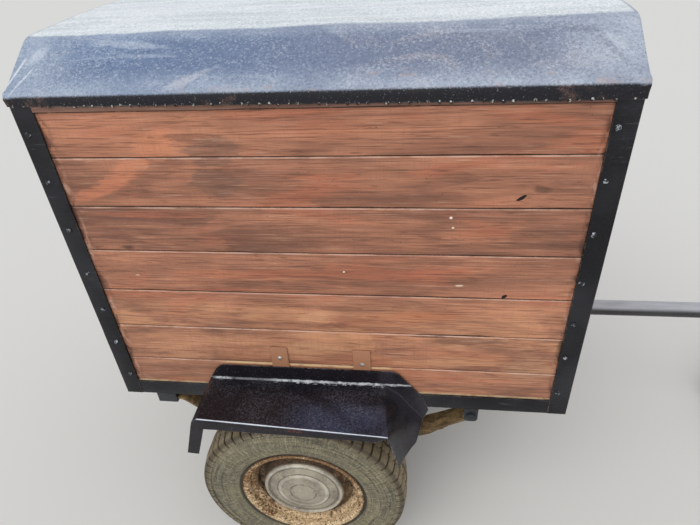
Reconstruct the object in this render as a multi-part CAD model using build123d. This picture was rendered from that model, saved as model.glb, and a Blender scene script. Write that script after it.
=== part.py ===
from build123d import *
import math
import os

os.makedirs("parts", exist_ok=True)

# All sizes are millimetres. +X points to the coupling, +Y to the left side, +Z up.
# The origin is on the ground, under the middle of the whole trailer.

# How far a cutting tool runs past the faces it cuts, and how closely a vertex is picked
CUT_MARGIN = 1.0

# Boarded box
BOARD_COUNT = 7
BOARD_PITCH = 112.0
BOARD_THICK = 20.0
BOARD_LAP = 10.0
BOARD_GROOVE = 3.0
LAP_CLEARANCE = 0.5
LAP_END_GAP = 1.0
BOX_LENGTH = 1170.0
BOX_WIDTH = 930.0
FLOOR_THICK = 15.0

# Angle iron frame
ANGLE_LEG = 45.0
ANGLE_THICK = 5.0
CROSS_BAR_WIDTH = 50.0
CROSS_BAR_SETBACKS = (300.0, 585.0, 870.0)

# Roof, measured from the top of the boards and in from the covered side
ROOF_EAVE_RISE = 17.0
ROOF_SKIRT_DROP = 10.0
ROOF_KNEE_INSET = 123.0
ROOF_KNEE_RISE = 101.0
ROOF_CROWN_RISE = 110.0
ROOF_KNEE_RADIUS = 60.0
ROOF_EAVE_RADIUS = 6.0
ROOF_COVER_THICK = 3.0
ROOF_DECK_THICK = 12.0
ROOF_END_HEM = 28.0
GABLE_THICK = 12.0
EAVE_STRIP_DROP = 15.0

# Rear doors
DOOR_GAP = 7.0
JAMB_THICK = 19.0
DOOR_FRAME_DEPTH = 20.0
HEADER_HEIGHT = 45.0
DOOR_BATTEN_THICK = 20.0
DOOR_BATTEN_WIDTH = 60.0
DOOR_BATTEN_MARGIN = 12.0
HINGE_PLATE_THICK = 3.0
HINGE_KNUCKLE_RADIUS = 7.0
HINGE_PIN_RADIUS = 4.0
HINGE_PIN_CLEARANCE = 0.08
HINGE_HEIGHT = 60.0
HINGE_STRAP_LENGTH = 280.0
HINGE_STRAP_WIDTH = 30.0
HINGE_STRAP_TIP_WIDTH = 18.0
HINGE_AXIAL_GAP = 0.5
HINGE_NECK_GAP = 2.0
HINGE_STRAP_FLARE = 12.0
HASP_LENGTH = 110.0
HASP_WIDTH = 42.0
HASP_LEAF_LENGTH = 30.0
HASP_KNUCKLE_RADIUS = 5.0
HASP_EDGE_SETBACK = 22.0
HASP_SLOT_REACH = 84.0
HASP_SLOT_CLEARANCE = 1.5
STAPLE_REACH = 20.0
STAPLE_ROD_RADIUS = 3.5
STAPLE_SPAN = 20.0
STAPLE_PLATE_WIDTH = 36.0
STAPLE_PLATE_HEIGHT = 60.0

# Wheels and tyres
TYRE_RADIUS = 279.0
TYRE_WIDTH = 132.0
TYRE_SIDE_GAP = 7.0
RIM_FLANGE_RADIUS = 168.0
RIM_SEAT_RADIUS = 152.5
RIM_WELL_RADIUS = 135.0
RIM_WIDTH = 115.0
RIM_THICK = 3.0
BEAD_FIT = 0.3
TYRE_CASING = 9.0
TYRE_TREAD_THICK = 16.0
# Tyre's outside as (share of the way from the rim's flange to the tread, share of the half width)
TYRE_PROFILE = (
    (0.01, 0.818), (0.07, 0.925), (0.43, 1.0), (0.63, 0.985), (0.84, 0.88), (0.955, 0.8), (1.0, 0.4),
)
# Drop centre of the rim, as shares of its half width
WELL_SHARE = 0.4
SEAT_SHARE = 0.55
WHEEL_FACE_OFFSET = 30.0
DISC_THICK = 4.0
DISC_EDGE_OUTSET = 8.0
DISC_DISH_OUTSET = 12.0
DISC_DISH_MARGIN = 10.0
HUBCAP_RADIUS = 109.0
HUBCAP_INSET = 17.0
HUBCAP_SHEET = 1.5
HUBCAP_EDGE_DEPTH = 4.5
HUBCAP_SEAT_LAP = 2.0
HUBCAP_SEAT_WIDTH = 22.0
HUBCAP_SEAT_DEPTH = 5.0
# Hubcap as (share of its radius, rise above its edge as a share of its radius)
HUBCAP_PROFILE = (
    (1.0, 0.0), (0.972, 0.037), (0.917, 0.046), (0.872, 0.009), (0.78, 0.037), (0.6, 0.073), (0.56, 0.073),
    (0.3, 0.11), (0.0, 0.128),
)
HUB_BARREL_RADIUS = 34.0
HUB_FLANGE_RADIUS = 66.0
HUB_FLANGE_THICK = 8.0
HUB_FACE_MARGIN = 6.0
HUB_BACK_LENGTH = 58.0
HUB_BACK_GAP = 1.0
HUB_NOSE_LENGTH = 17.0
HUB_NOSE_CHAMFER = 4.0
HUB_PILOT_GAP = 0.3
STUB_RADIUS = 15.0
STUB_BEYOND_FACE = 6.0
STUB_END_GAP = 3.0
RUNNING_CLEARANCE = 0.05

# Axle and springs
AXLE_SETBACK = 498.0
AXLE_DROP = 224.0
AXLE_BEAM = 40.0
SPRING_FRONT_SPAN = 440.0
SPRING_REAR_SPAN = 345.0
SPRING_EYE_DROP = 28.0
SPRING_TAIL_DROP = 23.0
SPRING_TAIL_LENGTH = 72.0
SPRING_WIDTH = 50.0
SPRING_INSET = 31.0
LEAF_THICK = 7.0
LEAF_REACHES = (1.0, 0.87, 0.79, 0.55, 0.3)
EYE_BORE_RADIUS = 8.3
SPRING_PIN_RADIUS = 8.0
SPRING_PAD_THICK = 8.0
SPRING_PLATE_LENGTH = 84.0
SPRING_PLATE_WIDTH = 82.0
U_BOLT_RADIUS = 5.0
U_BOLT_CLEARANCE = 0.3
U_BOLT_SIDE_GAP = 1.0
U_BOLT_TAIL = 16.0
SPRING_SEAT_GAP = 0.05
PIN_HEAD_THICK = 4.0
PIN_END_GAP = 0.2
HANGER_THICK = 5.0
HANGER_LENGTH = 36.0
HANGER_SIDE_GAP = 0.5
SLIDE_LENGTH = 54.0
SLIDE_SLOT_SHARE = 0.66
TAIL_PAST_SLIDE = 4.0

# Mudguards, placed round the tyre, with drops measured from the top panel
FENDER_SHEET = 2.0
FENDER_TYRE_GAP = 20.0
FENDER_REAR_SHORTFALL = 48.0
FENDER_FRONT_SHORTFALL = 66.0
FENDER_REAR_OVERHANG = 2.0
FENDER_FRONT_OVERHANG = 22.0
FENDER_REAR_FOLD = (16.0, 14.0)
FENDER_FRONT_FLARE = 24.0
# Front apron's edge lines as (reach ahead of the panel's inner corner, drop below the panel)
FENDER_APRON_INNER = ((42.0, 32.0), (105.0, 120.0))
FENDER_APRON_OUTER = ((33.0, 35.0), (65.0, 160.0))
# Apron's clipped corner, as shares of its lower and its outer edge
FENDER_APRON_CLIP = (0.4, 0.65)
# How far that cut runs past the two edges, as shares of its length
FENDER_CLIP_RUN = (-0.15, 2.0)
FENDER_FLANGE_HEIGHT = 47.0
FENDER_FLANGE_INSET = 21.0
FENDER_FLANGE_RADIUS = 36.0
# Flange's front end, as (reach ahead of the panel's inner corner, rise above the panel)
FENDER_FLANGE_NOSE = ((36.0, FENDER_FLANGE_HEIGHT), (106.0, -43.0), (118.0, -85.0))
# Flange's tip runs just past the apron's end, as a share of the apron's last fold
FENDER_FLANGE_TIP_SHARE = 1.04
FENDER_LIP_REAR_DROP = 36.0
FENDER_LIP_FRONT_DROP = 22.0
FENDER_LIP_CUTBACK = 24.0
FENDER_LEG_DROP = 139.0
FENDER_LEG_SETBACK = 23.5
FENDER_LEG_WIDTH = 31.0
FENDER_LEG_SLANT = 35.0
TAB_THICK = ANGLE_THICK
TAB_WIDTH = 44.0
TAB_LAP = 20.0
TAB_STAND = 64.0
TAB_REACHES_BACK = (257.0, 49.0)

# Drawbar, coupling and front stand
DRAWBAR_RADIUS = 24.15
DRAWBAR_WALL = 3.2
DRAWBAR_REACH = 1010.0
DRAWBAR_TAIL_SETBACK = 275.0
BALL_RADIUS = 25.0
BALL_CLEARANCE = 0.4
COUPLING_SHELL = 7.5
COUPLING_SLEEVE_RADIUS = 29.5
COUPLING_SLEEVE_LENGTH = 110.0
COUPLING_NECK = 42.0
COUPLING_NECK_RADIUS = 21.0
COUPLING_SHOULDER = 6.0
COUPLING_SOCKET_DEPTH = 22.0
COUPLING_LIP_RADIUS = 39.0
COUPLING_LIP_HEIGHT = 7.0
BALL_DROP = 8.0
LEVER_WIDTH = 26.0
# Latch lever's side as (ahead of the ball, above the ball)
LEVER_PROFILE = (
    (-62, 22.5), (22, 34), (30, 45), (18, 52), (-95, 66), (-128, 62), (-128, 54), (-96, 56), (-40, 40),
    (-62, 30),
)
STAND_SETBACK_FROM_BALL = 205.0
STAND_TUBE_RADIUS = 24.15
STAND_TUBE_WALL = 3.0
STAND_TUBE_HIGH = 860.0
STAND_CAP_THICK = 6.0
STAND_WOUND_UP_GAP = 5.0
STAND_LEG_CLEARANCE = 0.35
STAND_LIFT = 150.0
STAND_SPACING = 12.0
SWIVEL_PIN_RADIUS = 10.0
SWIVEL_PIN_HEIGHT = 30.0
SWIVEL_GAP = 0.5
LEG_PLUG_HEIGHT = 60.0
CROWN_THICK = 8.0
CROWN_WHEEL_GAP = 14.0
CROWN_REACH_AHEAD = 24.0
CROWN_REACH_BEHIND = 58.0
FORK_FOOT_BELOW_PIN = 16.0
FORK_FOOT_HALF_LENGTH = 21.0
FORK_PIN_HEAD = 5.0
STAND_WHEEL_RADIUS = 100.0
STAND_WHEEL_WIDTH = 50.0
STAND_TRAIL = 35.0
STAND_PIN_RADIUS = 8.0
STAND_FORK_GAP = 5.0
STAND_FORK_THICK = 5.0
STAND_CRANK_REACH = 110.0
CRANK_RISE = 26.0
CRANK_THICK = 6.0
CRANK_HALF_WIDTH = 10.0
CRANK_SHAFT_RADIUS = 9.0
CRANK_GRIP_RADIUS = 12.0
CRANK_GRIP_HEIGHT = 80.0
CRANK_GRIP_GAP = 14.0
CLAMP_HALF_HEIGHT = 28.0
CLAMP_WALL = 8.0
CLAMP_SADDLE_HALF_LENGTH = 32.0
CLAMP_SADDLE_HALF_HEIGHT = 20.0
CLAMP_EAR_REACH = 32.0
CLAMP_EAR_HALF_LENGTH = 7.0
CLAMP_EAR_HALF_HEIGHT = 16.0
CLAMP_FIT = 0.3
# Stand wheel's half section as (radius as a share of its radius, share of its half width)
STAND_WHEEL_PROFILE = (
    (0.16, 1.16), (0.16, 0.24), (0.5, 0.24), (0.58, 0.68), (0.72, 0.68), (0.76, 0.92), (0.9, 0.96),
    (1.0, 0.6),
)
CHAIN_HOLE_RADIUS = 7.0
CHAIN_HOLE_DROP = 18.0
CHAIN_HOLE_EDGE = 16.0
CHAIN_PLATE_THICK = 8.0
CHAIN_PLATE_LENGTH = 50.0
CHAIN_PLATE_RADIUS = 14.0
CHAIN_PLATE_SETBACK = 60.0

# Worked out from the sizes above
half_width = BOX_WIDTH / 2
frame_low = TYRE_RADIUS + AXLE_DROP
floor_top = frame_low + ANGLE_THICK + FLOOR_THICK
wall_top = floor_top + BOARD_COUNT * BOARD_PITCH
board_face = half_width - ANGLE_THICK
board_back = board_face - BOARD_THICK
post_edge = half_width - ANGLE_LEG
nose_reach = BALL_RADIUS + BALL_CLEARANCE + COUPLING_SHELL
lip_reach = max(nose_reach, COUPLING_LIP_RADIUS)
box_rear = (STAPLE_REACH - BOX_LENGTH - DRAWBAR_REACH - lip_reach) / 2
box_front = box_rear + BOX_LENGTH
axle_x = box_rear + AXLE_SETBACK
axle_z = TYRE_RADIUS
wheel_y = half_width + TYRE_SIDE_GAP + TYRE_WIDTH / 2
drawbar_z = frame_low - DRAWBAR_RADIUS
ball_x = box_front + DRAWBAR_REACH
ball_z = drawbar_z - BALL_DROP
stand_x = ball_x - STAND_SETBACK_FROM_BALL
stand_y = DRAWBAR_RADIUS + STAND_SPACING + STAND_TUBE_RADIUS


def block(x_pair, y_pair, z_pair):
    """A square-edged block between two corners."""
    size = [pair[1] - pair[0] for pair in (x_pair, y_pair, z_pair)]
    middle = [(pair[1] + pair[0]) / 2 for pair in (x_pair, y_pair, z_pair)]
    return Pos(*middle) * Box(*size)


def rod(start, end, radius):
    """A round bar from one point to another."""
    line = Vector(*end) - Vector(*start)
    plane = Plane(origin=start, z_dir=line)
    return plane * Cylinder(radius, line.length, align=(Align.CENTER, Align.CENTER, Align.MIN))


def prism(plane, points, depth):
    """A straight-sided outline on a plane, pushed along the plane's normal."""
    return extrude(plane * make_face(Polyline(*points, close=True)), amount=depth)


def other_side(solid):
    return mirror(solid, about=Plane.XZ)


def save(node, *solids):
    """Writes one node, its like pieces kept as separate solids."""
    bodies = [body for solid in solids for body in solid.solids()]
    shape = bodies[0] if len(bodies) == 1 else Compound(children=bodies)
    shape.label = node
    export_step(shape, f"parts/{node}.step")


def angle_section(leg, thick):
    """L section with its outer corner at the origin and both legs positive."""
    return [(0, 0), (leg, 0), (leg, thick), (thick, thick), (thick, leg), (0, leg)]


def corner_post(x_sign, y_sign):
    corner_x = box_front if x_sign > 0 else box_rear
    section = angle_section(ANGLE_LEG, ANGLE_THICK)
    points = [(corner_x - x_sign * along, y_sign * (half_width - across)) for along, across in section]
    return prism(Plane.XY.offset(frame_low), points, wall_top - frame_low)


def side_rail(y_sign):
    section = angle_section(ANGLE_LEG, ANGLE_THICK)
    points = [(y_sign * (half_width - across), frame_low + rise) for across, rise in section]
    plane = Plane.YZ.offset(box_rear + ANGLE_LEG)
    return prism(plane, points, BOX_LENGTH - 2 * ANGLE_LEG)


def end_rail(x_sign):
    corner_x = box_front if x_sign > 0 else box_rear
    section = angle_section(ANGLE_LEG, ANGLE_THICK)
    points = [(corner_x - x_sign * along, frame_low + rise) for along, rise in section]
    plane = Plane(origin=(0, -post_edge, 0), x_dir=(1, 0, 0), z_dir=(0, -1, 0))
    return prism(plane, points, -2 * post_edge)


def lapped_boards(low, high):
    """Board outlines as (depth behind the face, height), lapped from floor_top upwards."""
    outlines = []
    front_lip = BOARD_THICK / 2 - LAP_CLEARANCE / 2
    back_lip = BOARD_THICK / 2 + LAP_CLEARANCE / 2
    for row in range(BOARD_COUNT):
        bottom = floor_top + row * BOARD_PITCH
        top = bottom + BOARD_PITCH
        outline = [
            (0, bottom + BOARD_GROOVE), (0, top), (back_lip, top),
            (back_lip, top + BOARD_LAP - LAP_END_GAP), (BOARD_THICK, top + BOARD_LAP - LAP_END_GAP),
            (BOARD_THICK, bottom + BOARD_LAP), (front_lip, bottom + BOARD_LAP),
            (front_lip, bottom + BOARD_GROOVE),
        ]
        if row == 0:
            outline = [(0, low)] + outline[1:5] + [(BOARD_THICK, low)]
        if row == BOARD_COUNT - 1:
            foot = outline[5:] + outline[:1]
            outline = [(0, high), (BOARD_THICK, high)] + foot
        outlines.append(outline)
    return outlines


def side_boards(y_sign):
    plane = Plane.YZ.offset(box_rear + ANGLE_THICK)
    length = BOX_LENGTH - 2 * ANGLE_THICK
    boards = []
    for outline in lapped_boards(floor_top, wall_top):
        points = [(y_sign * (board_face - depth), height) for depth, height in outline]
        boards.append(prism(plane, points, length))
    return boards


def boards_across(face_x, into, y_low, y_high, low, high):
    """Boards that run along Y, with their face at face_x and their thickness along into."""
    plane = Plane(origin=(0, y_low, 0), x_dir=(1, 0, 0), z_dir=(0, -1, 0))
    boards = []
    for outline in lapped_boards(low, high):
        points = [(face_x + into * depth, height) for depth, height in outline]
        boards.append(prism(plane, points, y_low - y_high))
    return boards


# Box frame, floor and walls
save("corner_posts", *[corner_post(x_sign, y_sign) for x_sign in (-1, 1) for y_sign in (-1, 1)])
save("bottom_rails", side_rail(-1), side_rail(1), end_rail(-1), end_rail(1))
cross_bars = []
for setback in CROSS_BAR_SETBACKS:
    bar_x = box_rear + setback
    bar_half = CROSS_BAR_WIDTH / 2
    cross_bars.append(block((bar_x - bar_half, bar_x + bar_half), (-post_edge, post_edge),
                            (frame_low, frame_low + ANGLE_THICK)))
save("cross_bars", *cross_bars)
inner_rear = box_rear + ANGLE_THICK
inner_front = box_front - ANGLE_THICK
save("floor_panel", block((inner_rear, inner_front), (-board_face, board_face),
                          (floor_top - FLOOR_THICK, floor_top)))
save("side_boards_right", *side_boards(-1))
save("side_boards_left", *side_boards(1))
save("front_boards", *boards_across(inner_front, -1, -board_back, board_back, floor_top, wall_top))

# Timber door frame behind the rear posts
sill_top = frame_low + ANGLE_LEG
header_low = wall_top - HEADER_HEIGHT
frame_ring = block((inner_rear, inner_rear + DOOR_FRAME_DEPTH), (-board_back, board_back),
                   (floor_top, wall_top))
door_hole = block((inner_rear - CUT_MARGIN, inner_rear + DOOR_FRAME_DEPTH + CUT_MARGIN),
                  (JAMB_THICK - board_back, board_back - JAMB_THICK), (sill_top, header_low))
save("door_frame", frame_ring - door_hole)


def roof_outline(inset, low):
    """Roof section in Y and Z, drawn in from the covered outside by inset, above a level."""
    side = half_width + ROOF_COVER_THICK
    knee = side - ROOF_KNEE_INSET
    foot = wall_top - ROOF_SKIRT_DROP - ROOF_END_HEM
    edges = [
        Polyline((knee, wall_top + ROOF_KNEE_RISE), (side, wall_top + ROOF_EAVE_RISE), (side, foot),
                 (-side, foot), (-side, wall_top + ROOF_EAVE_RISE), (-knee, wall_top + ROOF_KNEE_RISE)),
        ThreePointArc((-knee, wall_top + ROOF_KNEE_RISE), (0, wall_top + ROOF_CROWN_RISE),
                      (knee, wall_top + ROOF_KNEE_RISE)),
    ]
    face = make_face(edges)
    knees = [v for v in face.vertices() if abs(abs(v.X) - knee) < CUT_MARGIN]
    face = fillet(knees, ROOF_KNEE_RADIUS)
    eaves = [v for v in face.vertices() if abs(v.Y - wall_top - ROOF_EAVE_RISE) < CUT_MARGIN]
    face = fillet(eaves, ROOF_EAVE_RADIUS)
    if inset > 0:
        face = offset(face, amount=-inset)
    window_height = 2 * (ROOF_CROWN_RISE + ROOF_SKIRT_DROP)
    window = Pos(0, low + window_height / 2) * Rectangle(2 * BOX_WIDTH, window_height)
    return face & window


def roof_length(face, start, length):
    return extrude(Plane.YZ.offset(start) * face, amount=length)


cover_outside = roof_outline(0, wall_top - ROOF_SKIRT_DROP)
cover_inside = roof_outline(ROOF_COVER_THICK, wall_top - ROOF_SKIRT_DROP)
deck_outside = roof_outline(ROOF_COVER_THICK, wall_top)
deck_inside = roof_outline(ROOF_COVER_THICK + ROOF_DECK_THICK, wall_top)
hem_inside = roof_outline(ROOF_END_HEM, wall_top - ROOF_SKIRT_DROP)
cover_start = box_rear - ROOF_COVER_THICK
cover_length = BOX_LENGTH + 2 * ROOF_COVER_THICK
cover = roof_length(cover_outside - cover_inside, cover_start, cover_length)
for hem_start in (cover_start, box_front):
    cover += roof_length(cover_outside - hem_inside, hem_start, ROOF_COVER_THICK)
save("roof_cover", cover)
save("roof_deck", roof_length(deck_outside - deck_inside, box_rear, BOX_LENGTH))
save("roof_gables", roof_length(deck_inside, inner_rear, GABLE_THICK),
     roof_length(deck_inside, inner_front - GABLE_THICK, GABLE_THICK))

strip_z = (wall_top - EAVE_STRIP_DROP, wall_top)
strip_x = (box_rear + ANGLE_LEG, box_front - ANGLE_LEG)
strip_y = (-post_edge, post_edge)
save("eave_strips",
     block(strip_x, (-half_width, -board_face), strip_z), block(strip_x, (board_face, half_width), strip_z),
     block((box_rear, inner_rear), strip_y, strip_z), block((inner_front, box_front), strip_y, strip_z))

# Rear doors: boards on inside battens, with strap hinges on the outside
door_low = sill_top + DOOR_GAP
door_high = header_low - DOOR_GAP
door_free = DOOR_GAP / 2
door_hinge = post_edge - DOOR_GAP
hinge_x = box_rear - HINGE_KNUCKLE_RADIUS
hinge_y = post_edge - DOOR_GAP / 2
hinge_heights = (floor_top + 1.5 * BOARD_PITCH, floor_top + 5.5 * BOARD_PITCH)
latch_z = floor_top + 3.5 * BOARD_PITCH


def strap_hinge(center_z):
    """One strap on the left door, tapered towards its tip, with the middle knuckle."""
    plate_x = (box_rear - HINGE_PLATE_THICK, box_rear)
    knuckle_half = HINGE_HEIGHT / 6 - HINGE_AXIAL_GAP
    plane = Plane.YZ.offset(plate_x[0])
    neck_y = hinge_y - HINGE_KNUCKLE_RADIUS - HINGE_NECK_GAP
    wide_y = neck_y - HINGE_STRAP_FLARE
    tip_y = hinge_y - HINGE_STRAP_LENGTH
    # Half outline from the knuckle to the tip, as (y, half height)
    half_outline = [
        (hinge_y, knuckle_half), (neck_y, knuckle_half), (wide_y, HINGE_STRAP_WIDTH / 2),
        (tip_y, HINGE_STRAP_TIP_WIDTH / 2),
    ]
    points = [(y, center_z + half) for y, half in half_outline]
    points += [(y, center_z - half) for y, half in reversed(half_outline)]
    strap = prism(plane, points, HINGE_PLATE_THICK)
    knuckle = rod((hinge_x, hinge_y, center_z - knuckle_half), (hinge_x, hinge_y, center_z + knuckle_half),
                  HINGE_KNUCKLE_RADIUS)
    bore = rod((hinge_x, hinge_y, center_z - HINGE_HEIGHT), (hinge_x, hinge_y, center_z + HINGE_HEIGHT),
               HINGE_PIN_RADIUS + HINGE_PIN_CLEARANCE)
    return strap + knuckle - bore


def post_hinge(center_z):
    """The hinge's fixed leaf on the left rear post, with its end knuckles and pin."""
    leaf = block((box_rear - HINGE_PLATE_THICK, box_rear), (hinge_y, half_width - ANGLE_THICK),
                 (center_z - HINGE_HEIGHT / 2, center_z + HINGE_HEIGHT / 2))
    slot_half = HINGE_HEIGHT / 6
    slot = block((box_rear - 4 * HINGE_KNUCKLE_RADIUS, box_rear + CUT_MARGIN),
                 (hinge_y - 2 * HINGE_KNUCKLE_RADIUS, hinge_y + HINGE_KNUCKLE_RADIUS + CUT_MARGIN),
                 (center_z - slot_half, center_z + slot_half))
    foot = (hinge_x, hinge_y, center_z - HINGE_HEIGHT / 2)
    head = (hinge_x, hinge_y, center_z + HINGE_HEIGHT / 2)
    barrel = rod(foot, head, HINGE_KNUCKLE_RADIUS)
    pin = rod(foot, head, HINGE_PIN_RADIUS)
    return (leaf + barrel - slot) + pin


hasp_knuckle_x = box_rear - 2 * HINGE_PLATE_THICK
hasp_knuckle_y = door_free + HASP_EDGE_SETBACK
staple_y = hasp_knuckle_y - HASP_SLOT_REACH


def staple():
    """U-shaped staple on the right door, on a small plate, where the hasp's slot closes."""
    half_span = STAPLE_SPAN / 2
    out_x = box_rear - STAPLE_REACH + STAPLE_ROD_RADIUS
    path = FilletPolyline((box_rear, staple_y, latch_z - half_span), (out_x, staple_y, latch_z - half_span),
                          (out_x, staple_y, latch_z + half_span), (box_rear, staple_y, latch_z + half_span),
                          radius=2 * STAPLE_ROD_RADIUS)
    section = Plane(origin=path @ 0, z_dir=path % 0) * Circle(STAPLE_ROD_RADIUS)
    half_width_y = STAPLE_PLATE_WIDTH / 2
    half_height = STAPLE_PLATE_HEIGHT / 2
    plate_y = (staple_y - half_width_y, staple_y + half_width_y)
    plate = block((box_rear - HINGE_PLATE_THICK, box_rear), plate_y,
                  (latch_z - half_height, latch_z + half_height))
    return sweep(section, path=path) + plate


def hasp():
    """The hasp folded back on the left door: a fixed leaf, a knuckle and the slotted arm."""
    height = (latch_z - HASP_WIDTH / 2, latch_z + HASP_WIDTH / 2)
    leaf_y = (hasp_knuckle_y, hasp_knuckle_y + HASP_LEAF_LENGTH)
    leaf = block((box_rear - HINGE_PLATE_THICK, box_rear), leaf_y, height)
    foot = (hasp_knuckle_x, hasp_knuckle_y, height[0])
    head = (hasp_knuckle_x, hasp_knuckle_y, height[1])
    knuckle = rod(foot, head, HASP_KNUCKLE_RADIUS)
    arm_x = (hasp_knuckle_x - HINGE_PLATE_THICK, hasp_knuckle_x)
    arm = block(arm_x, (hasp_knuckle_y, hasp_knuckle_y + HASP_LENGTH), height)
    slot_y = hasp_knuckle_y + HASP_SLOT_REACH
    slot_half = STAPLE_ROD_RADIUS + HASP_SLOT_CLEARANCE
    slot = block((arm_x[0] - CUT_MARGIN, arm_x[1] + CUT_MARGIN), (slot_y - slot_half, slot_y + slot_half),
                 (latch_z - STAPLE_SPAN / 2 - slot_half, latch_z + STAPLE_SPAN / 2 + slot_half))
    return leaf + knuckle + arm - slot


left_boards = boards_across(box_rear, 1, door_free, door_hinge, door_low, door_high)
batten_x = (box_rear + BOARD_THICK, box_rear + BOARD_THICK + DOOR_BATTEN_THICK)
batten_z = (door_low + DOOR_BATTEN_MARGIN, door_high - DOOR_BATTEN_MARGIN)
batten_starts = (door_free + 2 * DOOR_BATTEN_MARGIN, door_hinge - DOOR_BATTEN_MARGIN - DOOR_BATTEN_WIDTH)
left_battens = [block(batten_x, (y, y + DOOR_BATTEN_WIDTH), batten_z) for y in batten_starts]
left_straps = [strap_hinge(z) for z in hinge_heights]
left_leaves = [post_hinge(z) for z in hinge_heights]
save("door_boards_left", *left_boards)
save("door_boards_right", *[other_side(board) for board in left_boards])
save("door_battens_left", *left_battens)
save("door_battens_right", *[other_side(batten) for batten in left_battens])
save("door_irons_left", *left_straps, hasp())
save("door_irons_right", *[other_side(strap) for strap in left_straps], staple())
save("hinge_leaves", *left_leaves, *[other_side(leaf) for leaf in left_leaves])


def about_axle(points, y_sign):
    """Revolves (radius, distance outboard of the wheel's middle) about the axle line."""
    plane = Plane(origin=(axle_x, y_sign * wheel_y, axle_z), x_dir=(0, 0, 1), z_dir=(1, 0, 0))
    outline = [(radius, -y_sign * outboard) for radius, outboard in points]
    face = plane * make_face(Polyline(*outline, close=True))
    return revolve(face, axis=Axis((axle_x, 0, axle_z), (0, 1, 0)))


def tyre(y_sign):
    """Cross-ply tyre: a hollow casing on the rim seats, with its tread out to full radius."""
    half = TYRE_WIDTH / 2
    bead = RIM_WIDTH / 2 - RIM_THICK - BEAD_FIT
    height = TYRE_RADIUS - RIM_FLANGE_RADIUS
    outer = [(RIM_SEAT_RADIUS + BEAD_FIT, bead)]
    outer += [(RIM_FLANGE_RADIUS + share * height, across * half) for share, across in TYRE_PROFILE]
    crown, side_high, side_low = outer[-2], outer[-4], outer[-5]
    inner = [
        (TYRE_RADIUS - TYRE_TREAD_THICK, crown[1] - TYRE_CASING), (side_high[0], side_high[1] - TYRE_CASING),
        (side_low[0], side_low[1] - TYRE_CASING), (RIM_SEAT_RADIUS + BEAD_FIT, bead - TYRE_CASING),
    ]
    points = outer + [(radius, -across) for radius, across in reversed(outer)]
    points += [(radius, -across) for radius, across in reversed(inner)] + inner
    return about_axle(points, y_sign)


def wheel_rim(y_sign):
    """Pressed wheel: drop-centre rim and dished disc with a hub hole."""
    half = RIM_WIDTH / 2
    t = RIM_THICK
    well = WELL_SHARE * half
    seat = SEAT_SHARE * half
    outside = [
        (RIM_FLANGE_RADIUS, half), (RIM_FLANGE_RADIUS, half - t), (RIM_SEAT_RADIUS, half - t),
        (RIM_SEAT_RADIUS, seat), (RIM_WELL_RADIUS, well), (RIM_WELL_RADIUS, -well), (RIM_SEAT_RADIUS, -seat),
        (RIM_SEAT_RADIUS, t - half), (RIM_FLANGE_RADIUS, t - half), (RIM_FLANGE_RADIUS, -half),
    ]
    inside = [
        (RIM_SEAT_RADIUS - t, -half), (RIM_SEAT_RADIUS - t, -seat - t), (RIM_WELL_RADIUS - t, -well - t),
        (RIM_WELL_RADIUS - t, well + t), (RIM_SEAT_RADIUS - t, seat + t), (RIM_SEAT_RADIUS - t, half),
    ]
    barrel = about_axle(outside + inside, y_sign)
    face_out = WHEEL_FACE_OFFSET + DISC_THICK
    seat_out = half - HUBCAP_INSET - HUBCAP_SEAT_DEPTH
    # Disc as (radius, distance outboard, step in of its back)
    disc_face = [
        (RIM_WELL_RADIUS - t / 2, DISC_EDGE_OUTSET, 0),
        (HUBCAP_RADIUS + DISC_DISH_MARGIN, DISC_DISH_OUTSET, t / 2),
        (HUBCAP_RADIUS - HUBCAP_SEAT_LAP, seat_out, t / 2),
        (HUBCAP_RADIUS - HUBCAP_SEAT_LAP - HUBCAP_SEAT_WIDTH, seat_out, 0),
        (HUB_FLANGE_RADIUS + HUB_FACE_MARGIN, face_out, 0), (HUB_BARREL_RADIUS, face_out, 0),
    ]
    front = [(radius, outboard) for radius, outboard, step in disc_face]
    back = [(radius - step, outboard - DISC_THICK) for radius, outboard, step in disc_face]
    return barrel + about_axle(front + back[::-1], y_sign)


def hubcap(y_sign):
    """Domed cap with a rolled edge ring and a shallow step round its crown."""
    edge = RIM_WIDTH / 2 - HUBCAP_INSET
    outer = [(share * HUBCAP_RADIUS, edge + rise * HUBCAP_RADIUS) for share, rise in HUBCAP_PROFILE]
    wall = HUBCAP_RADIUS - HUBCAP_SHEET
    inner = [(min(radius, wall), outboard - HUBCAP_SHEET) for radius, outboard in outer]
    skirt = [(wall, edge - HUBCAP_EDGE_DEPTH), (HUBCAP_RADIUS, edge - HUBCAP_EDGE_DEPTH)]
    return about_axle(skirt + outer + inner[::-1], y_sign)


def wheel_hub(y_sign):
    """Hub with its flange behind the wheel disc and a blind bore for the stub."""
    bore = STUB_RADIUS + RUNNING_CLEARANCE
    face = WHEEL_FACE_OFFSET
    back = face - HUB_FLANGE_THICK
    bore_end = face + STUB_BEYOND_FACE + STUB_END_GAP
    pilot = HUB_BARREL_RADIUS - HUB_PILOT_GAP
    points = [
        (bore, back - HUB_BACK_LENGTH), (HUB_BARREL_RADIUS, back - HUB_BACK_LENGTH), (HUB_BARREL_RADIUS, back),
        (HUB_FLANGE_RADIUS, back), (HUB_FLANGE_RADIUS, face), (pilot, face),
        (pilot - HUB_NOSE_CHAMFER, face + HUB_NOSE_LENGTH), (0, face + HUB_NOSE_LENGTH), (0, bore_end),
        (bore, bore_end),
    ]
    return about_axle(points, y_sign)


for side_name, y_sign in (("right", -1), ("left", 1)):
    save(f"tyre_{side_name}", tyre(y_sign))
    save(f"rim_{side_name}", wheel_rim(y_sign))
    save(f"hubcap_{side_name}", hubcap(y_sign))
    save(f"hub_{side_name}", wheel_hub(y_sign))

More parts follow.
